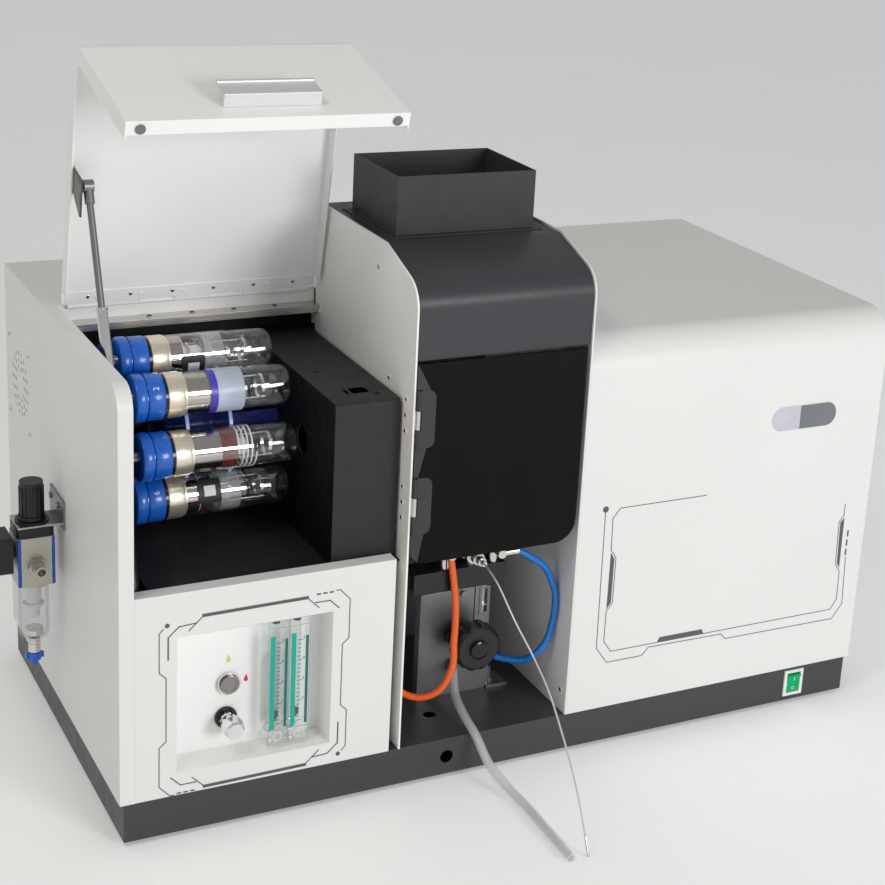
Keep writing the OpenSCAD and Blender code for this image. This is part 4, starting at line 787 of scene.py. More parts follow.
@dataclass
class StudioView:
    """The camera at the photograph's viewing angle, the pale floor and the soft lights.

    Places are in metres, angles in radians, and the lens in millimetres on a 36 mm sensor.
    """

    eye: Point = (-0.85697, -1.82172, 1.05936)
    yaw: float = 0.513665
    pitch: float = -0.307966
    roll: float = 0.067916
    lens: float = 75.03
    shift: tuple[float, float] = (-0.1181, -0.1023)
    sky: float = 0.40
    floor_glow: float = 0.2
    floor_half: float = 14.0

    def camera(self) -> None:
        """Sets the camera up."""
        flat = math.cos(self.pitch)
        ahead = Vector((math.sin(self.yaw) * flat, math.cos(self.yaw) * flat, math.sin(self.pitch)))
        level = Vector((math.cos(self.yaw), -math.sin(self.yaw), 0.0))
        up = level.cross(ahead)
        right = level * math.cos(self.roll) + up * math.sin(self.roll)
        top = up * math.cos(self.roll) - level * math.sin(self.roll)
        data = bpy.data.cameras.new("camera")
        data.lens = self.lens
        data.sensor_width = 36.0
        data.shift_x, data.shift_y = self.shift
        data.clip_start, data.clip_end = 0.05, 50.0
        eye = bpy.data.objects.new("camera", data)
        bpy.context.scene.collection.objects.link(eye)
        turn = Matrix((right, top, -ahead)).transposed().to_4x4()
        eye.matrix_world = Matrix.Translation(self.eye) @ turn
        bpy.context.scene.camera = eye

    def lamp(
        self, name: str, at: Point, aim: Point, size: float, watts: float, colour: Point = (1.0, 1.0, 1.0),
    ) -> None:
        """Adds one soft light.

        Args:
            name: its name.
            at: its place in metres.
            aim: the point it faces.
            size: its side in metres.
            watts: its power.
            colour: its colour.
        """
        data = bpy.data.lights.new(name, "AREA")
        data.size = size
        data.energy = watts
        data.color = colour
        lamp = bpy.data.objects.new(name, data)
        lamp.location = at
        lamp.rotation_mode = "QUATERNION"
        lamp.rotation_quaternion = (Vector(aim) - Vector(at)).to_track_quat("-Z", "Y")
        bpy.context.scene.collection.objects.link(lamp)

    def room(self) -> None:
        """Lays the floor, the world and the lights."""
        web = NodeWeb("floor_paper")
        tone = web.tint(web.spread(web.noise(3.0), 0.0, 1.0), (0.87, 0.87, 0.87), (0.89, 0.89, 0.89))
        web.join(tone, web.shader.inputs["Base Color"])
        web.join(web.spread(web.noise(60.0), 0.85, 0.95), web.shader.inputs["Roughness"])
        web.shader.inputs["Emission Color"].default_value = (1.0, 1.0, 1.0, 1.0)
        web.shader.inputs["Emission Strength"].default_value = self.floor_glow
        mesh = bpy.data.meshes.new("floor")
        r = self.floor_half
        mesh.from_pydata([(-r, -r, 0), (r, -r, 0), (r, r, 0), (-r, r, 0)], [], [(0, 1, 2, 3)])
        mesh.materials.append(web.material)
        floor = bpy.data.objects.new("floor", mesh)
        bpy.context.scene.collection.objects.link(floor)
        world = bpy.data.worlds.new("studio")
        world.use_nodes = True
        back = world.node_tree.nodes["Background"]
        back.inputs["Color"].default_value = (1.0, 1.0, 1.0, 1.0)
        back.inputs["Strength"].default_value = self.sky
        bpy.context.scene.world = world
        self.lamp("key", (1.0, -3.3, 1.15), (0.05, 0.0, 0.3), 1.0, 46.0)
        self.lamp("left", (-1.5, -0.9, 2.6), (-0.3, 0.0, 0.3), 0.8, 12.0, (1.0, 0.95, 0.82))
        bpy.context.scene.view_settings.view_transform = "Standard"
        bpy.context.scene.view_settings.look = "None"


@dataclass
class FreeHose:
    """A free hose: its route through given points, its section and what it is made of."""

    name: str
    node: str
    body: str
    slot: str
    finish: Finish
    route: tuple[Point, ...]
    radius: float
    length: float
    far_end: str
    stiffness: str
    lay: str
    bore: float = 0.0
    steps: int = 9

    def path(self) -> list[Vector]:
        """The smooth centre line in millimetres.

        Returns:
            The points of the line.
        """
        p = [Vector(q) for q in self.route]
        line = []
        for i in range(len(p) - 1):
            a, b, c, d = p[max(i - 1, 0)], p[i], p[i + 1], p[min(i + 2, len(p) - 1)]
            for k in range(self.steps):
                t = k / self.steps
                square, cube = (2 * a - 5 * b + 4 * c - d) * t * t, (3 * b - a - 3 * c + d) * t ** 3
                line.append(0.5 * (2 * b + (c - a) * t + square + cube))
        line.append(p[-1])
        return line

    def build(self, shop: Workshop, with_pieces: tuple[bpy.types.Object, ...] = ()) -> bpy.types.Object:
        """Args:
            shop: makes the piece.
            with_pieces: what is on the hose; not used.

        Returns:
            The hose.
        """
        line = self.path()
        shape = Shape().tube(line, self.radius, 24, self.bore)
        piece = shop.make(shape, self.name, self.finish, self.body, self.slot, (self.node,), crease=50.0)
        place(*self.route[0])
        return piece


@dataclass
class HoseSet:
    """The two gas hoses, the drain hose and the sample capillary."""

    tip_length: float = 26.0
    tip_radius: float = 1.25

    def build(self, shop: Workshop) -> None:
        """Makes the four free hoses and the metal tip of the capillary.

        Args:
            shop: makes and dresses the pieces.
        """
        FreeHose(
            "hose_orange_skin", "hose_orange", "chassis", "hose_orange", Paint.ORANGE,
            (
                (371, 38, 244), (375.5, 38, 218.5), (379, 38, 193), (380.5, 38, 167), (380, 38, 142),
                (380.5, 39, 113), (367.5, 38, 89), (349, 43, 79), (329, 52, 83), (309, 64.5, 104),
            ),
            radius=3.9, length=0.236, far_end="object", stiffness="medium", lay="hanging",
        ).build(shop)
        FreeHose(
            "hose_blue_skin", "hose_blue", "chassis", "hose_blue", Paint.BLUE,
            (
                (450, 34, 243), (467, 31, 232.5), (482.5, 32.5, 220.5), (493, 33.5, 203.5), (499, 31, 185),
                (498.5, 29, 165), (498, 32, 145.5), (493, 33, 126.5), (483.5, 38, 110), (473.5, 50, 98),
                (459.5, 64.5, 95), (443.5, 75.5, 99), (431, 86.6, 110),
            ),
            radius=3.9, length=0.24, far_end="object", stiffness="medium", lay="hanging",
        ).build(shop)
        FreeHose(
            "drain_hose_skin", "drain_hose", "chassis", "hose_clear", Paint.PVC,
            (
                (404, 84, 84), (395, 57.5, 66), (390.5, 25, 58), (390, -7.5, 49.5), (393.5, -34.5, 29),
                (404, -61.5, 12.5), (410.5, -93.5, 5.8), (410, -128, 5.2), (409.5, -162, 5.2),
                (408, -196, 5.2),
            ),
            radius=5.0, length=0.305, far_end="bare", stiffness="medium", lay="loose", bore=3.4,
        ).build(shop)
        sip = FreeHose(
            "capillary_skin", "capillary", "lift", "capillary_white", Paint.NYLON,
            (
                (403, 20, 239), (398, -22, 234.5), (409, -44.5, 200), (425.5, -59, 163), (429.5, -91, 135.5),
                (432, -118.5, 102.5), (429.5, -150.5, 74), (428.5, -176.5, 39), (428.5, -195, 1),
            ),
            radius=1.0, length=0.344, far_end="fitting", stiffness="stiff", lay="hanging",
        )
        line = sip.path()
        tail = [q for q in line if (q - line[-1]).length < self.tip_length][:-1]
        tube = Shape().tube(tail, self.tip_radius, 16)
        tip = shop.make(tube, "capillary_tip", Paint.NICKEL, "lift", "chrome_bright", crease=50.0)
        sip.build(shop, (tip,))


@dataclass
class Cabinet:
    """The sheet metal: base, feet, left housing, rear cover and right housing, with their screws."""

    switch_x: float = 820.0
    switch_z: float = 28.0
    inlet_z: float = 98.0
    recess_top: float = 240.0
    fan_y: float = 390.0
    fan_z: float = 364.0

    def build(self, shop: Workshop) -> None:
        """Dresses the cabinet and adds its small pieces.

        Args:
            shop: makes and dresses the pieces.
        """
        shop.dress("base_tray", Paint.BASE, 0.5, flatten=False)
        shop.dress("rubber_feet", Paint.RUBBER, 0.6)
        shop.dress("rear_cover", Paint.PANEL, 0.5)
        for node in ("left_side_panel", "right_cover"):
            shop.dress(node, Paint.PANEL, 0.25, flatten=False)

        def pan(c: Vector) -> int:
            """Says whether a face is inside the control recess, which gets the paler panel coat as painted
            light against its shade.
            """
            return int(c.y > 2.5 and c.z < self.recess_top)

        shop.dress("left_front_panel", Paint.PANEL, 0.5, (Paint.LIT_PANEL,), pan)
        shop.dress("internal_modules", Paint.MODULE, 0.5)
        for node in ("fan_frame", "fan_rotor", "power_inlet"):
            shop.dress(node, Paint.BLACK, 0.3)
        self._screws(shop)
        self._inlet(shop)
        self._switch(shop)

    def _screws(self, shop: Workshop) -> None:
        """Adds the screw heads on the outer panels.

        Args:
            shop: makes and dresses the pieces.
        """
        heads = Shape()
        for sy in (-1, 1):
            for sz in (-1, 1):
                screw_head(heads, (-1.15, self.fan_y + sy * 45, self.fan_z + sz * 45), Axis.LEFT, 2.9, 0.6)
        for x in (30, 150, 270, 386, 486, 640, 760, 880):
            for z in (62, 470):
                screw_head(heads, (x, 455.0, z), Axis.Y, 3.0, 1.3)
        shop.make(heads, "panel_screws", (Paint.NICKEL, Paint.RECESS_SHADE), "chassis", "stainless")

    def _inlet(self, shop: Workshop) -> None:
        """Adds the blades and the two screws of the mains inlet.

        Args:
            shop: makes and dresses the pieces.
        """
        pins = Shape()
        for dx, dz in ((-7, -2), (7, -2), (0, 2)):
            x, z = self.switch_x + dx, self.inlet_z + dz
            pins.box((x - 0.9, 439.2, z - 1.9), (x + 0.9, 453.4, z + 1.9))
        for s in (-1, 1):
            screw_head(pins, (self.switch_x + s * 20, 457.6, self.inlet_z), Axis.Y, 2.6, 1.0)
        shop.make(pins, "inlet_pins", (Paint.NICKEL, Paint.RECESS_SHADE), "chassis", "stainless", bevel=0.2)

    def _switch(self, shop: Workshop) -> None:
        """Dresses the power switch and prints its plain marks.

        Args:
            shop: makes and dresses the pieces.
        """
        shop.dress("switch_bezel", Paint.WHITE, 0.5)
        shop.dress("power_rocker", Paint.ROCKER, 0.4)
        middle = Matrix.Translation((self.switch_x, 5.5, self.switch_z))
        marks = Shape()
        marks.box((-0.5, -7.12, 4.6), (0.5, -6.9, 8.4))
        marks.lathe([(2.1, 0), (1.5, 0), (1.5, 0.25), (2.1, 0.25)], (0, -6.9, -6.2), Axis.FRONT, 24)
        marks.turn(middle @ Matrix.Rotation(math.radians(9), 4, "X"))
        shop.make(marks, "rocker_marks", Paint.WHITE_INK, "rocker", "bezel_white")


@dataclass
class PrintedFace:
    """The printed borders, the flame marks and the blank two-tone badge."""

    badge_x: float = 792.0
    badge_z: float = 371.0
    badge_w: float = 88.0
    badge_h: float = 28.0
    badge_split: float = 6.0

    def build(self, shop: Workshop) -> None:
        """Dresses the marks and makes the badge.

        Args:
            shop: makes and dresses the pieces.
        """
        def pick(c: Vector) -> int:
            """Tells the border lines from the yellow and the red flame mark.

            Args:
                c: the middle of a face.

            Returns:
                The finish's number.
            """
            if c.y < 20:
                return 0
            return 1 if c.z > 158 else 2

        shop.dress("printed_marks", Paint.GREY_INK, 0.0, (Paint.YELLOW_INK, Paint.RED_INK), pick)
        r = self.badge_h / 2 - 0.5
        outline = round_outline(self.badge_x, self.badge_z, self.badge_w, self.badge_h, r, 16)
        cut = self.badge_x - self.badge_split
        left = [p for p in outline if p[0] < cut]
        right = [p for p in outline if p[0] >= cut]
        top, low = self.badge_z + self.badge_h / 2, self.badge_z - self.badge_h / 2
        badge = Shape()
        badge.prism(self._cyclic(left + [(cut - 0.3, top), (cut - 0.3, low)]), Axis.Y, -1.1, -0.02)
        badge.slot = 1
        badge.prism(self._cyclic(right + [(cut + 0.3, top), (cut + 0.3, low)]), Axis.Y, -1.15, -0.02)
        badge.slot = 2
        rim = round_outline(self.badge_x, self.badge_z, self.badge_w + 0.9, self.badge_h + 0.9, r + 0.4, 16)
        badge.prism(rim, Axis.Y, -0.5, -0.01)
        finishes = (Paint.BADGE_WHITE, Paint.BADGE_GREY, Paint.ANODISED)
        shop.make(badge, "badge_blank", finishes, "chassis", "badge_silver", ("badge_plate",), 0.25, 3)

    @staticmethod
    def _cyclic(points: list[Flat]) -> list[Flat]:
        """The points in order round their middle.

        Args:
            points: the outline's points in any order.

        Returns:
            The points in order.
        """
        cx = sum(p[0] for p in points) / len(points)
        cz = sum(p[1] for p in points) / len(points)
        return sorted(points, key=lambda p: math.atan2(p[1] - cz, p[0] - cx))


class LampKind(Enum):
    """What shows inside and on a lamp."""

    BLOCK = "a dark square patch and a ceramic sleeve"
    BANDED = "a violet ring and a pale sleeve"
    COILED = "a red ring and a white coil"


class CoreFinish(IntEnum):
    """The finishes inside and on a lamp, by number."""

    SHIELD = 0
    CERAMIC = 1
    NICKEL = 2
    PATCH = 3
    PURPLE = 4
    PALE = 5
    RED = 6
    WHITE = 7
    FROST = 8


@dataclass(frozen=True)
class LampStyle:
    """One lamp: its kind, where its patch and its number face in degrees above the front, and the number."""

    kind: LampKind
    patch_at: float
    digit_at: float
    number: int


@dataclass
class LampTurret:
    """Eight hollow cathode lamps in blue sockets, held by two clear blue discs."""

    axis_y: float = 191.0
    axis_z: float = 370.0
    ring_r: float = 78.0
    glass_r: float = 22.5
    neck_r: float = 21.4
    lamps: tuple[LampStyle, ...] = (
        LampStyle(LampKind.COILED, -30.0, -150.0, 1),
        LampStyle(LampKind.BANDED, 10.0, 38.0, 2),
        LampStyle(LampKind.BLOCK, -18.0, 150.0, 3),
        LampStyle(LampKind.COILED, 140.0, 160.0, 4),
        LampStyle(LampKind.BLOCK, 180.0, 178.0, 5),
        LampStyle(LampKind.BANDED, 200.0, 210.0, 7),
        LampStyle(LampKind.COILED, -90.0, -90.0, 8),
        LampStyle(LampKind.BLOCK, 24.0, 34.0, 6),
    )

    def centre(self, k: int) -> Flat:
        """The (y, z) place of one lamp's axis at rest."""
        a = math.radians(45 * k + 0.7)
        return self.axis_y - self.ring_r * math.cos(a), self.axis_z + self.ring_r * math.sin(a)

    def build(self, shop: Workshop) -> None:
        """Makes the lamps and dresses the holder.

        Args:
            shop: makes and dresses the pieces.
        """
        # The discs' edges get the paler copy of the holder as painted highlight.
        shop.dress("turret_frame", Paint.HOLDER, 0.4, (Paint.HOLDER_GLINT,), self._lit_rim)
        sockets, collars, glass, digits = Shape(), Shape(), Shape(), Shape()
        for k in range(len(self.lamps)):
            y, z = self.centre(k)
            self._socket(sockets, y, z)
            self._collar(collars, y, z)
            self._glass(glass, y, z)
            self._digit(digits, k, y, z)
            self._inside(shop, k, y, z)
        caps = (Paint.SOCKET, Paint.GLOSS_BLACK, Paint.NICKEL)
        rings = (Paint.CHAMPAGNE, Paint.NICKEL)
        shop.make(sockets, "socket_caps", caps, "turret", "socket_blue", ("lamp_sockets",), crease=32)
        shop.make(collars, "collar_rings", rings, "turret", "collar_champagne", ("lamp_collars",), crease=32)
        shop.make(glass, "lamp_envelopes", Paint.GLASS, "turret", "lamp_glass", ("lamp_glass",), crease=32)
        shop.make(digits, "socket_digits", Paint.WHITE_INK, "turret", "needle_white")

    @staticmethod
    def _lit_rim(c: Vector) -> int:
        """Tells the edges of the two discs, which get the paler painted highlight, from their faces."""
        return int(105.6 < c.x < 108.4 or 151.6 < c.x < 154.4)

    def _socket(self, s: Shape, y: float, z: float) -> None:
        """Draws one blue socket: rounded cap, groove, barrel and dark seal.

        Args:
            s: where it is drawn.
            y: how far the lamp's axis is behind the front.
            z: how high the lamp's axis is.
        """
        s.slot = 0
        s.lathe([
            (0, 50), (18.5, 50), (22.0, 50.6), (24.2, 52.2), (25, 54.4), (25, 61.4), (24.4, 62.4),
            (22.2, 62.8), (22.2, 64.2), (23.9, 64.6), (24.2, 65.4), (24.2, 80.2), (23.7, 81.2),
            (21.5, 81.5), (0, 81.5),
        ], (0, y, z), Axis.X, 64)
        s.slot = 1
        s.lathe([(20, 81.4), (22.8, 81.4), (22.8, 84.6), (20, 84.6)], (0, y, z), Axis.X, 48)
        s.slot = 2
        s.lathe([(0, 43), (5.2, 43), (6, 43.8), (6, 50.2), (0, 50.2)], (0, y, z), Axis.X, 24)
        s.slot = 0

    def _collar(self, s: Shape, y: float, z: float) -> None:
        """Draws the metal collar with its step, and the post behind it.

        Args:
            s: where it is drawn.
            y: how far the lamp's axis is behind the front.
            z: how high the lamp's axis is.
        """
        s.slot = 0
        s.lathe([
            (0, 84.4), (22.6, 84.4), (23.4, 85), (23.5, 86), (23.5, 100.6), (23.1, 101.4), (22.9, 102),
            (21.6, 102), (21.6, 104.5), (20.4, 104.8), (0, 104.8),
        ], (0, y, z), Axis.X, 64)
        s.slot = 1
        s.lathe([(0, 104.6), (4.2, 104.6), (4.2, 112), (0, 112)], (0, y, z), Axis.X, 20)
        s.slot = 0

    def _glass(self, s: Shape, y: float, z: float) -> None:
        """Draws the envelope with its thin wall, its seam and its window.

        Args:
            s: where it is drawn.
            y: how far the lamp's axis is behind the front.
            z: how high the lamp's axis is.
        """
        r, n = self.glass_r, self.neck_r
        s.lathe([
            (r - 1.2, 102.2), (r, 102.2), (r, 166), (r - 0.4, 169), (n - 0.3, 170.4), (n - 0.3, 171.4),
            (n, 172.6), (n, 206), (n - 0.5, 210), (n - 1.8, 213), (n - 3.6, 214.9), (n - 5, 215), (0, 215),
            (0, 213.8), (n - 4.4, 213.8), (n - 2.6, 211.6), (n - 1.6, 208), (n - 1.2, 204), (n - 1.2, 172),
            (r - 1.3, 168.6), (r - 1.2, 166),
        ], (0, y, z), Axis.X, 64)

    def _digit(self, s: Shape, k: int, y: float, z: float) -> None:
        """Prints the plain number of one socket on its barrel.

        Args:
            s: where it is drawn.
            k: the lamp's place in the ring.
            y: how far the lamp's axis is behind the front.
            z: how high the lamp's axis is.
        """
        angle = math.radians(self.lamps[k].digit_at)
        out = Vector((0, -math.cos(angle), math.sin(angle)))
        up = Vector((-1, 0, 0))
        right = up.cross(out)
        m = Matrix((right, up, out)).transposed().to_4x4()
        m.translation = Vector((72.5, y, z)) + out * 24.15
        s.digits(str(self.lamps[k].number), 8.5, m, 0.5)

    def _inside(self, shop: Workshop, k: int, y: float, z: float) -> None:
        """Makes the electrodes and the sleeves of one lamp.

        Args:
            shop: makes and dresses the pieces.
            k: the lamp's place in the ring.
            y: how far the lamp's axis is behind the front.
            z: how high the lamp's axis is.
        """
        kind = self.lamps[k].kind
        at = (0, y, z)
        end = {LampKind.BLOCK: 118.0, LampKind.BANDED: 129.0, LampKind.COILED: 141.0}[kind]
        s = Shape()
        s.slot = CoreFinish.SHIELD
        s.lathe([(19.6, 103.4), (20.6, 103.4), (20.6, end), (19.6, end)], at, Axis.X, 56)
        s.lathe([(0, 104), (2.2, 104), (2.2, 146), (0, 146)], at, Axis.X, 16)
        s.slot = CoreFinish.CERAMIC
        s.lathe([(4.5, end - 1), (20.2, end - 1), (20.2, end + 0.8), (4.5, end + 0.8)], at, Axis.X, 40)
        cup = [(5.6, end + 2), (9.5, end + 2), (9.5, end + 22), (8.6, end + 23), (5.6, end + 23)]
        s.lathe(cup, at, Axis.X, 32)
        s.slot = CoreFinish.NICKEL
        s.lathe([(9.7, end + 8), (12.6, end + 8), (12.6, end + 10), (9.7, end + 10)], at, Axis.X, 32)
        if kind is LampKind.BLOCK:
            s.slot = CoreFinish.FROST
            s.lathe([(20.2, 141), (20.9, 141), (20.9, 162), (20.2, 162)], at, Axis.X, 48)
            self._patch(s, y, z, self.lamps[k].patch_at, 116.0, 140.0, 26.0)
        elif kind is LampKind.BANDED:
            s.slot = CoreFinish.PURPLE
            s.lathe([(22.52, 129), (22.75, 129), (22.75, 136), (22.52, 136)], at, Axis.X, 64)
            s.slot = CoreFinish.PALE
            s.lathe([(22.52, 136.3), (22.72, 136.3), (22.72, 164.5), (22.52, 164.5)], at, Axis.X, 64)
        else:
            s.slot = CoreFinish.RED
            s.lathe([(20.8, 134), (21.1, 134), (21.1, 150), (20.8, 150)], at, Axis.X, 64)
            s.slot = CoreFinish.WHITE
            self._coil(s, y, z)
        s.slot = CoreFinish.NICKEL
        for rod in (-1, 1):
            foot = (0, y + rod * 14 * math.cos(0.6), z + rod * 14 * math.sin(0.6))
            s.lathe([(0, 104), (0.8, 104), (0.8, 190), (0, 190)], foot, Axis.X, 10)
        s.lathe([(12.5, 186), (13.6, 186), (13.6, 189), (12.5, 189)], at, Axis.X, 40)
        finishes = (
            Paint.SHIELD, Paint.CERAMIC, Paint.NICKEL, Paint.DARK_INK, Paint.BAND_PURPLE, Paint.BAND_PALE,
            Paint.BAND_RED, Paint.WHITE_INK, Paint.FROST,
        )
        shop.make(s, f"lamp_core_{k + 1}", finishes, "turret", "stainless", crease=35)

    def _coil(self, s: Shape, y: float, z: float) -> None:
        """Winds the white coil inside the glass.

        Args:
            s: where it is drawn.
            y: how far the lamp's axis is behind the front.
            z: how high the lamp's axis is.
        """
        turns, steps, r = 4, 28, 21.0
        coil = []
        for i in range(turns * steps + 1):
            t = 2 * math.pi * i / steps
            coil.append(Vector((151 + 19 * i / (turns * steps), y - r * math.cos(t), z + r * math.sin(t))))
        s.tube(coil, 0.85, 8)

    def _patch(self, s: Shape, y: float, z: float, face: float, x0: float, x1: float, width: float) -> None:
        """Wraps a dark square patch with a bare pale field round part of the glass.

        Args:
            s: where it is drawn.
            y: the lamp axis.
            z: the lamp axis.
            face: the direction it faces, in degrees above the front.
            x0: its left end.
            x1: its right end.
            width: its width round the glass.
        """
        dark = (CoreFinish.PATCH, 22.56, x0, x1, width)
        pale = (CoreFinish.WHITE, 22.72, x0 + 6, x1 - 6, width * 0.42)
        for finish, r, a, b, span in (dark, pale):
            s.slot = finish
            half = math.degrees(span / 2 / r)
            ring = []
            for i in range(13):
                t = math.radians(face - half + 2 * half * i / 12)
                for rr in (r, r + 0.16):
                    for x in (a, b):
                        ring.append(s.bm.verts.new((x, y - rr * math.cos(t), z + rr * math.sin(t))))
            for i in range(12):
                a0, b0 = ring[4 * i:4 * i + 4], ring[4 * i + 4:4 * i + 8]
                for p, q in ((0, 1), (1, 3), (3, 2), (2, 0)):
                    s.face([a0[p], a0[q], b0[q], b0[p]])
            s.face([ring[0], ring[1], ring[3], ring[2]])
            s.face([ring[-4], ring[-3], ring[-1], ring[-2]])
        s.slot = 0


@dataclass
class LampBay:
    """The dark bay round the turret, the hinge ledge and the optics box."""

    box_x0: float = 227.0
    ledge_top: float = 471.2
    ledge_end: float = 297.4

    def build(self, shop: Workshop) -> None:
        """Dresses the bay and adds the screws.

        Args:
            shop: makes and dresses the pieces.
        """
        shop.dress("compartment_liner", Paint.LINER, 0.5)
        # The box's left face gets the darker copy of its coat as painted shade.
        shop.dress("optics_box", Paint.OPTICS, 0.8, (Paint.OPTICS_SHADE,), lambda c: int(c.x < self.box_x0 + 0.6))

        def painted(c: Vector) -> int:
            """Tells the white-coated flange and end of the ledge, which get the paler panel coat as painted
            light, from its bright steel face.
            """
            return int(c.z > self.ledge_top or c.x > self.ledge_end)

        shop.dress("ledge_strip", Paint.LEDGE, 0.25, (Paint.LIT_PANEL,), painted)
        screws = Shape()
        screw_head(screws, (248, 129, 438.7), Axis.Z, 3.3, 0.8)
        for i in range(5):
            screw_head(screws, (62.5 + i * 47.06, 265, 470.9), Axis.Z, 2.8, 0.7)
        shop.make(screws, "bay_screws", (Paint.BLACK, Paint.RECESS_SHADE), "chassis", "plastic_black")


@dataclass
class LidGroup:
    """The hinged lid with its handle, bumpers and telescopic strut."""

    hinge_y: float = 272.0
    hinge_z: float = 486.0
    swing: float = 78.0

    def pose(self) -> Matrix:
        """Turns a piece drawn on the closed lid to the open rest pose."""
        hinge = Matrix.Translation((0, self.hinge_y, self.hinge_z))
        return hinge @ Matrix.Rotation(math.radians(-self.swing), 4, "X")

    def build(self, shop: Workshop) -> None:
        """Dresses the lid group.

        Args:
            shop: makes and dresses the pieces.
        """
        # The lid gets the paler copy of the panel coat: painted light.
        shop.dress("lid_shell", Paint.LIT_PANEL, 0.45)
        shop.dress("lid_handle", Paint.ANODISED, 0.6)
        shop.dress("lid_bumpers", Paint.STUD, 0.9)
        shop.dress("lid_stud", Paint.BLUED, 0.5)
        shop.dress("strut_tube", Paint.BLACK, 0.4)
        shop.dress("strut_sleeve", Paint.CHROME, 0.2)
        shop.dress("strut_rod", Paint.PLATE, 0.3)
        self._screws(shop)

    def _screws(self, shop: Workshop) -> None:
        """Adds the screw heads of the hinge leaf.

        Args:
            shop: makes and dresses the pieces.
        """
        heads = Shape()
        for i in range(6):
            screw_head(heads, (44 + i * 45.6, -11, -2.6), Axis.DOWN, 2.1, 0.7)
        heads.turn(self.pose())
        shop.make(heads, "leaf_screws", (Paint.NICKEL, Paint.RECESS_SHADE), "lid", "stainless")


@dataclass
class BurnerTower:
    """The tower: side panels, dark cover, chimney, smoked door and what stands inside."""

    left_face: float = 300.25
    right_face: float = 503.1

    def build(self, shop: Workshop) -> None:
        """Dresses the tower and adds its screws.

        Args:
            shop: makes and dresses the pieces.
        """
        # The tower's left panel gets the paler, warmer copy of the panel coat: painted light.
        shop.dress("tower_left_panel", Paint.LIT_TOWER_PANEL, 0.45)
        shop.dress("tower_right_panel", Paint.PANEL, 0.45)
        shop.dress("tower_cover", Paint.COVER, 0.6)
        shop.dress("chimney_duct", Paint.CHIMNEY, 0.5)
        shop.dress("burner_backplate", Paint.BACK, 0.4)
        shop.dress("door_hinge_fixed", Paint.STEEL, 0.15)

        def leaf(c: Vector) -> int:
            """Tells the two hinge leaves from the smoked sheet."""
            return int(c.y < -1.02 or (c.x < 314 and c.y < 1.7))

        shop.dress("door_panel", Paint.SMOKE, 0.25, (Paint.HINGE,), leaf)
        screws = Shape()
        for z in (327, 422):
            for k in (-17, 0, 17):
                screw_head(screws, (self.left_face, 17, z + k), Axis.LEFT, 2.2, 0.5)
        screw_head(screws, (self.left_face, 62, 448), Axis.LEFT, 2.2, 0.5)
        screw_head(screws, (self.right_face, 12, 74), Axis.LEFT, 2.5, 0.5)
        shop.make(screws, "tower_screws", (Paint.NICKEL, Paint.RECESS_SHADE), "chassis", "stainless")


@dataclass
class BurnerBay:
    """The lift, the spray chamber with its nebuliser, the gas fittings and the lobed knob."""

    knob_x: float = 416.0
    knob_z: float = 123.0

    def build(self, shop: Workshop) -> None:
        """Dresses the bay's pieces.

        Args:
            shop: makes and dresses the pieces.
        """
        def boss(c: Vector) -> int:
            """Tells the black boss behind the knob from the plate."""
            return int(c.y < 91.9 and 390 < c.x < 411 and 112 < c.z < 134)

        shop.dress("lift_bracket", Paint.PLATE, 0.25, (Paint.BLACK,), boss)
        shop.dress("lift_slide", Paint.STEEL, 0.2)
        shop.dress("gas_manifold", Paint.BLACK, 0.6)
        shop.dress("gas_fittings", Paint.NICKEL, 0.25)
        shop.dress("spray_chamber", Paint.BLACK, 0.5)
        shop.dress("nebuliser", Paint.NICKEL, 0.3)
        shop.dress("burner_head", Paint.STEEL, 0.4)
        shop.dress("star_knob", Paint.BLACK, 0.9)
        cap = Shape()
        dome = [(0, 2.2), (6, 2.1), (9.4, 1.5), (10.6, 0.8), (10.8, 0), (0, 0)]
        cap.lathe(dome, (self.knob_x, 44.05, self.knob_z), Axis.FRONT, 48)
        shop.make(cap, "star_knob_cap", Paint.GLOSS_BLACK, "lift_knob", "plastic_black")


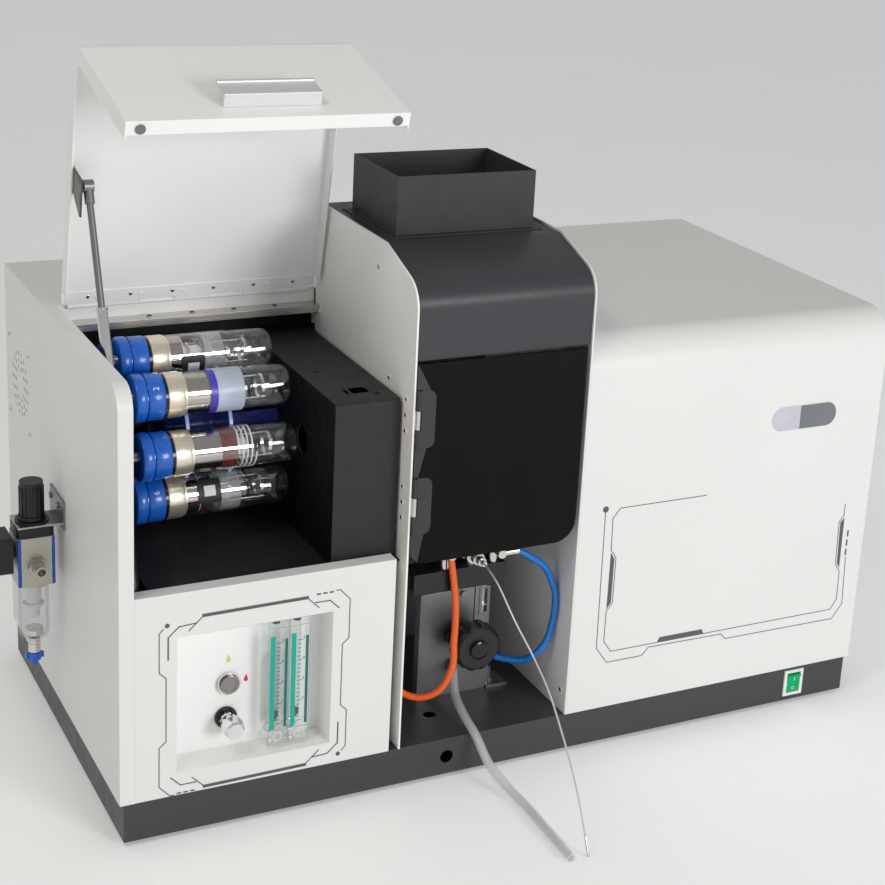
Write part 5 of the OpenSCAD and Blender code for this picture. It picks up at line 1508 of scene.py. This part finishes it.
@dataclass
class ControlRecess:
    """The push button, the gas knob and the two flow meters in the front recess."""

    meter_x: float = 157.0
    pitch: float = 22.5
    width: float = 22.0
    front_y: float = 10.0
    z0: float = 77.0
    z1: float = 219.0
    knob_at: tuple[float, float] = (119.94, 106.45)
    facets: int = 10

    def build(self, shop: Workshop) -> None:
        """Dresses the controls and adds the meters' ticks, the pale strips of painted highlight on their
        edges, and their plugs.

        Args:
            shop: makes and dresses the pieces.
        """
        shop.dress("ignition_button", Paint.DARK_STEEL, 0.4)
        self._knob(shop)
        shop.dress("meter_blocks", Paint.ACRYLIC, 0.5)

        def narrow(c: Vector) -> int:
            """Tells the narrow bar of a meter from its wide one."""
            return int((c.x - self.meter_x) % self.pitch > self.width / 2 + 1)

        shop.dress("meter_scales", Paint.TEAL, 0.0, (Paint.DEEP_TEAL,), narrow)
        shop.dress("float_left", Paint.BLACK, 0.3)
        shop.dress("float_right", Paint.BLACK, 0.3)
        ticks, fittings, edges = Shape(), Shape(), Shape()
        for i in (0, 1):
            x = self.meter_x + i * self.pitch
            self._scale(ticks, x)
            self._plugs(fittings, x)
            self._edges(edges, x)
        shop.make(ticks, "meter_ticks", Paint.DEEP_TEAL, "chassis", "scale_green")
        # The pale strips are painted highlight on the meters' clear edges.
        shop.make(edges, "meter_edge_highlights", Paint.EDGE, "chassis", "meter_acrylic")
        plugs = (Paint.BLACK, Paint.NICKEL)
        shop.make(fittings, "meter_plugs", plugs, "chassis", "plastic_black", crease=32)

    def _scale(self, ticks: Shape, x: float) -> None:
        """Draws the ticks and the numbers of one meter.

        Args:
            ticks: where they are drawn.
            x: the meter's left side.
        """
        y = self.front_y
        for k in range(21):
            z = self.z0 + 24 + k * 4.6
            long = 5.6 if k % 5 == 0 else 3.4
            ticks.box((x + 8.2, y - 0.22, z - 0.3), (x + 8.2 + long, y - 0.02, z + 0.3))
        for k in range(5):
            spot = Matrix.Translation((x + 15.0, y - 0.12, self.z0 + 26 + k * 23))
            ticks.digits(str(k + 1), 4.4, spot @ Matrix.Rotation(math.radians(90), 4, "X"), 0.2)

    def _plugs(self, fittings: Shape, x: float) -> None:
        """Draws the metal plugs behind one meter, the ring on its front and the black stop on top.

        Args:
            fittings: where they are drawn.
            x: the meter's left side.
        """
        middle = x + self.width / 2
        fittings.slot = 1
        for z, r in ((self.z0 + 9, 6.0), (self.z1 - 7, 5.2)):
            plug = [(0, 0), (r, 0), (r, 2), (r * 0.7, 3), (0, 3)]
            fittings.lathe(plug, (middle, 34.8, z), Axis.FRONT, 24)
        ring = [(3.4, 0), (5.6, 0), (5.6, 0.14), (3.4, 0.14)]
        fittings.lathe(ring, (middle, self.front_y - 0.02, self.z0 + 9.5), Axis.FRONT, 32)
        fittings.slot = 0
        stop = [(0, 0), (3.9, 0), (4.1, 0.6), (4.1, 4.2), (3.2, 5), (0, 5)]
        fittings.lathe(stop, (middle, 21, self.z1 - 8), Axis.Z, 24)

    def _edges(self, edges: Shape, x: float) -> None:
        """Draws thin pale strips along the sides and across one meter's clear block: painted highlight where
        the clear wall shows bright edges.

        Args:
            edges: where they are drawn.
            x: the meter's left side.
        """
        y = self.front_y
        for left, right in ((0.02, 0.62), (self.width - 0.62, self.width - 0.02)):
            edges.box((x + left, y - 0.12, self.z0 + 0.4), (x + right, y + 0.5, self.z1 - 0.4))
        for z in (self.z0 + 0.4, self.z0 + 16.4, self.z1 - 9.4):
            edges.box((x + 0.7, y - 0.1, z), (x + self.width - 0.7, y + 0.4, z + 0.5))

    def _knob(self, shop: Workshop) -> None:
        """Makes the faceted gas knob on its dark ring.

        Args:
            shop: makes and dresses the pieces.
        """
        knob = Shape()
        cx, cz = self.knob_at
        rings = []
        rows = (
            (1.0, 8.2, 0.0), (3.2, 9.8, 0.0), (12.5, 12.0, 0.5),
            (21.8, 9.6, 0.0), (23.6, 8.6, 0.0), (34.4, 8.6, 0.0),
        )
        for y, r, half in rows:
            turns = [2 * math.pi * (k + half) / self.facets for k in range(self.facets)]
            rings.append([knob.bm.verts.new((cx + r * math.cos(t), y, cz + r * math.sin(t))) for t in turns])
        knob.face(rings[0])
        knob.face(rings[-1][::-1])
        for number, (a, b) in enumerate(zip(rings, rings[1:])):
            for k in range(self.facets):
                m = (k + 1) % self.facets
                if number == 1:
                    knob.face([a[k], a[m], b[k]])
                    knob.face([a[m], b[m], b[k]])
                elif number == 2:
                    knob.face([a[k], a[m], b[m]])
                    knob.face([a[k], b[m], b[k]])
                else:
                    knob.face([a[k], a[m], b[m], b[k]])
        knob.slot = 1
        ring = [(8.7, 31.6), (11.4, 31.6), (11.8, 32.2), (11.8, 34.4), (8.7, 34.4)]
        knob.lathe(ring, (cx, 0, cz), Axis.Y, 40)
        shop.make(
            knob, "gas_knob_faceted", (Paint.CHROME, Paint.GLOSS_BLACK), "gas_knob_body", "chrome_bright",
            ("gas_knob",), crease=12,
        )


@dataclass
class FilterRegulator:
    """The filter regulator on the left side: body, knob, gauge, clear bowl and drain."""

    x: float = -30.0
    y: float = 219.0
    z0: float = 205.0
    z1: float = 271.0
    half: float = 19.0
    cap: float = 11.0
    plate_x: float = -17.0

    def build(self, shop: Workshop) -> None:
        """Dresses the regulator and adds its trim.

        Args:
            shop: makes and dresses the pieces.
        """
        cap_z, plate_x = self.z1 - self.cap - 0.5, self.plate_x
        shop.dress("regulator_body", Paint.SILVER, 0.5, (Paint.BLACK,), lambda c: int(c.z > cap_z))
        shop.dress("regulator_hardware", Paint.FITTING, 0.3, (Paint.PLATE,), lambda c: int(c.x > plate_x))
        shop.dress("regulator_knob", Paint.BLACK, 0.5)
        shop.dress("gauge_case", Paint.BLACK, 0.6)
        shop.dress("gauge_needle", Paint.DARK_INK, 0.0)
        shop.dress("drain_cock", Paint.SOCKET, 0.4)
        self._strips(shop)
        self._bowl(shop)
        self._dial(shop)

    def _strips(self, shop: Workshop) -> None:
        """Adds the blue strips on the corners.

        Args:
            shop: makes and dresses the pieces.
        """
        s = Shape()
        h = self.half
        for sx in (-1, 1):
            for sy in (-1, 1):
                x = self.x + sx * (h - 1.6)
                y = self.y + sy * (h - 1.6)
                s.box((x - 1.9, y - 1.9, self.z0 + 0.5), (x + 1.9, y + 1.9, self.z1 - self.cap - 0.3))
        shop.make(s, "regulator_trim", Paint.STRIP_BLUE, "chassis", "socket_blue", bevel=0.9)

    def _bowl(self, shop: Workshop) -> None:
        """Makes the clear bowl, its metal stub, the filter element and the baffle inside.

        Args:
            shop: makes and dresses the pieces.
        """
        z = self.z0 - 3
        bowl = Shape()
        bowl.lathe([
            (14.4, -0.3), (16, -0.3), (16, -54), (15.5, -57.5), (14, -60.2), (11.5, -61.8), (9.2, -62.4),
            (9.2, -64.6), (6.6, -65.2), (4.5, -65.2), (4.5, -62), (9, -60.6), (12.6, -58.6), (14.1, -55.6),
            (14.4, -52),
        ], (self.x, self.y, z), Axis.Z, 48)
        shop.make(bowl, "bowl_clear", Paint.BOWL, "chassis", "bowl_clear", ("regulator_bowl",), crease=35)
        core = Shape()
        core.lathe([
            (0, -0.4), (8, -0.4), (8, -22), (11, -23.5), (11, -25.5), (6.4, -26.4), (6.4, -38), (2.4, -41),
            (0, -41),
        ], (self.x, self.y, z), Axis.Z, 32)
        core.slot = 1
        core.lathe([
            (0, -53), (9.2, -53), (9.6, -54), (9.6, -59.4), (0, -59.4),
        ], (self.x, self.y, z), Axis.Z, 32)
        core.lathe([
            (3.1, -64.4), (6.2, -64.4), (6.2, -66), (5.7, -66.4), (5.7, -67.4), (6.2, -67.8), (6.2, -69.4),
            (5.7, -69.8), (5.7, -70.8), (6.2, -71.2), (6.4, -80.6), (3.1, -80.8),
        ], (self.x, self.y, z), Axis.Z, 32)
        shop.make(core, "bowl_element", (Paint.CERAMIC, Paint.NICKEL), "chassis", "needle_white", crease=35)

    def _dial(self, shop: Workshop) -> None:
        """Makes the gauge's bezel, dial, ticks and numbers.

        Args:
            shop: makes and dresses the pieces.
        """
        gx, gy, gz = self.x - self.half - 25, self.y, self.z0 + 37
        dial = Shape()
        dial.lathe([(0, 0), (16.9, 0), (16.9, 0.5), (0, 0.5)], (gx + 4.0, gy, gz), Axis.LEFT, 48)
        dial.slot = 1
        bezel = [(15.4, 0), (17.6, 0), (17.6, 0.7), (16.8, 1.0), (15.4, 0.7)]
        dial.lathe(bezel, (gx + 1.1, gy, gz), Axis.LEFT, 48)
        dial.slot = 2
        for k in range(25):
            a = math.radians(-45 + 270 * k / 24 - 90)
            out = Vector((0, math.sin(a), -math.cos(a)))
            side = Vector((0, math.cos(a), math.sin(a)))
            r0, w = (11.2, 0.35) if k % 4 == 0 else (12.8, 0.2)
            p = Vector((gx + 3.4, gy, gz))
            near, far = p + out * r0, p + out * 14.6
            quad = [near - side * w, far - side * w, far + side * w, near + side * w]
            dial.face([dial.bm.verts.new(q) for q in quad])
        for k in range(5):
            a = math.radians(-45 + 270 * k / 4 - 90)
            y, z = gy + 8.2 * math.sin(a), gz - 8.2 * math.cos(a)
            m = Matrix(((0, 0, -1, gx + 3.42), (-1, 0, 0, y), (0, 1, 0, z), (0, 0, 0, 1)))
            dial.digits(str(k * 3), 4.2, m, 0.1)
        finishes = (Paint.WHITE_INK, Paint.CHROME, Paint.DARK_INK)
        shop.make(dial, "gauge_dial", finishes, "chassis", "needle_white", crease=35)


def main() -> None:
    """Builds the view, the hoses and every sub-assembly in order."""
    logging.basicConfig(level=logging.INFO, format="%(name)s: %(message)s")
    random.seed(7)
    view = StudioView()
    view.camera()
    shop = Workshop()
    HoseSet().build(shop)
    for part in (
        Cabinet(), PrintedFace(), LampBay(), LampTurret(), LidGroup(), BurnerTower(), BurnerBay(),
        ControlRecess(), FilterRegulator(),
    ):
        part.build(shop)
        LOG.info("%s is done", type(part).__name__)
    view.room()
    LOG.info("%d pieces were made", shop.count)


if __name__ == "__main__":
    main()
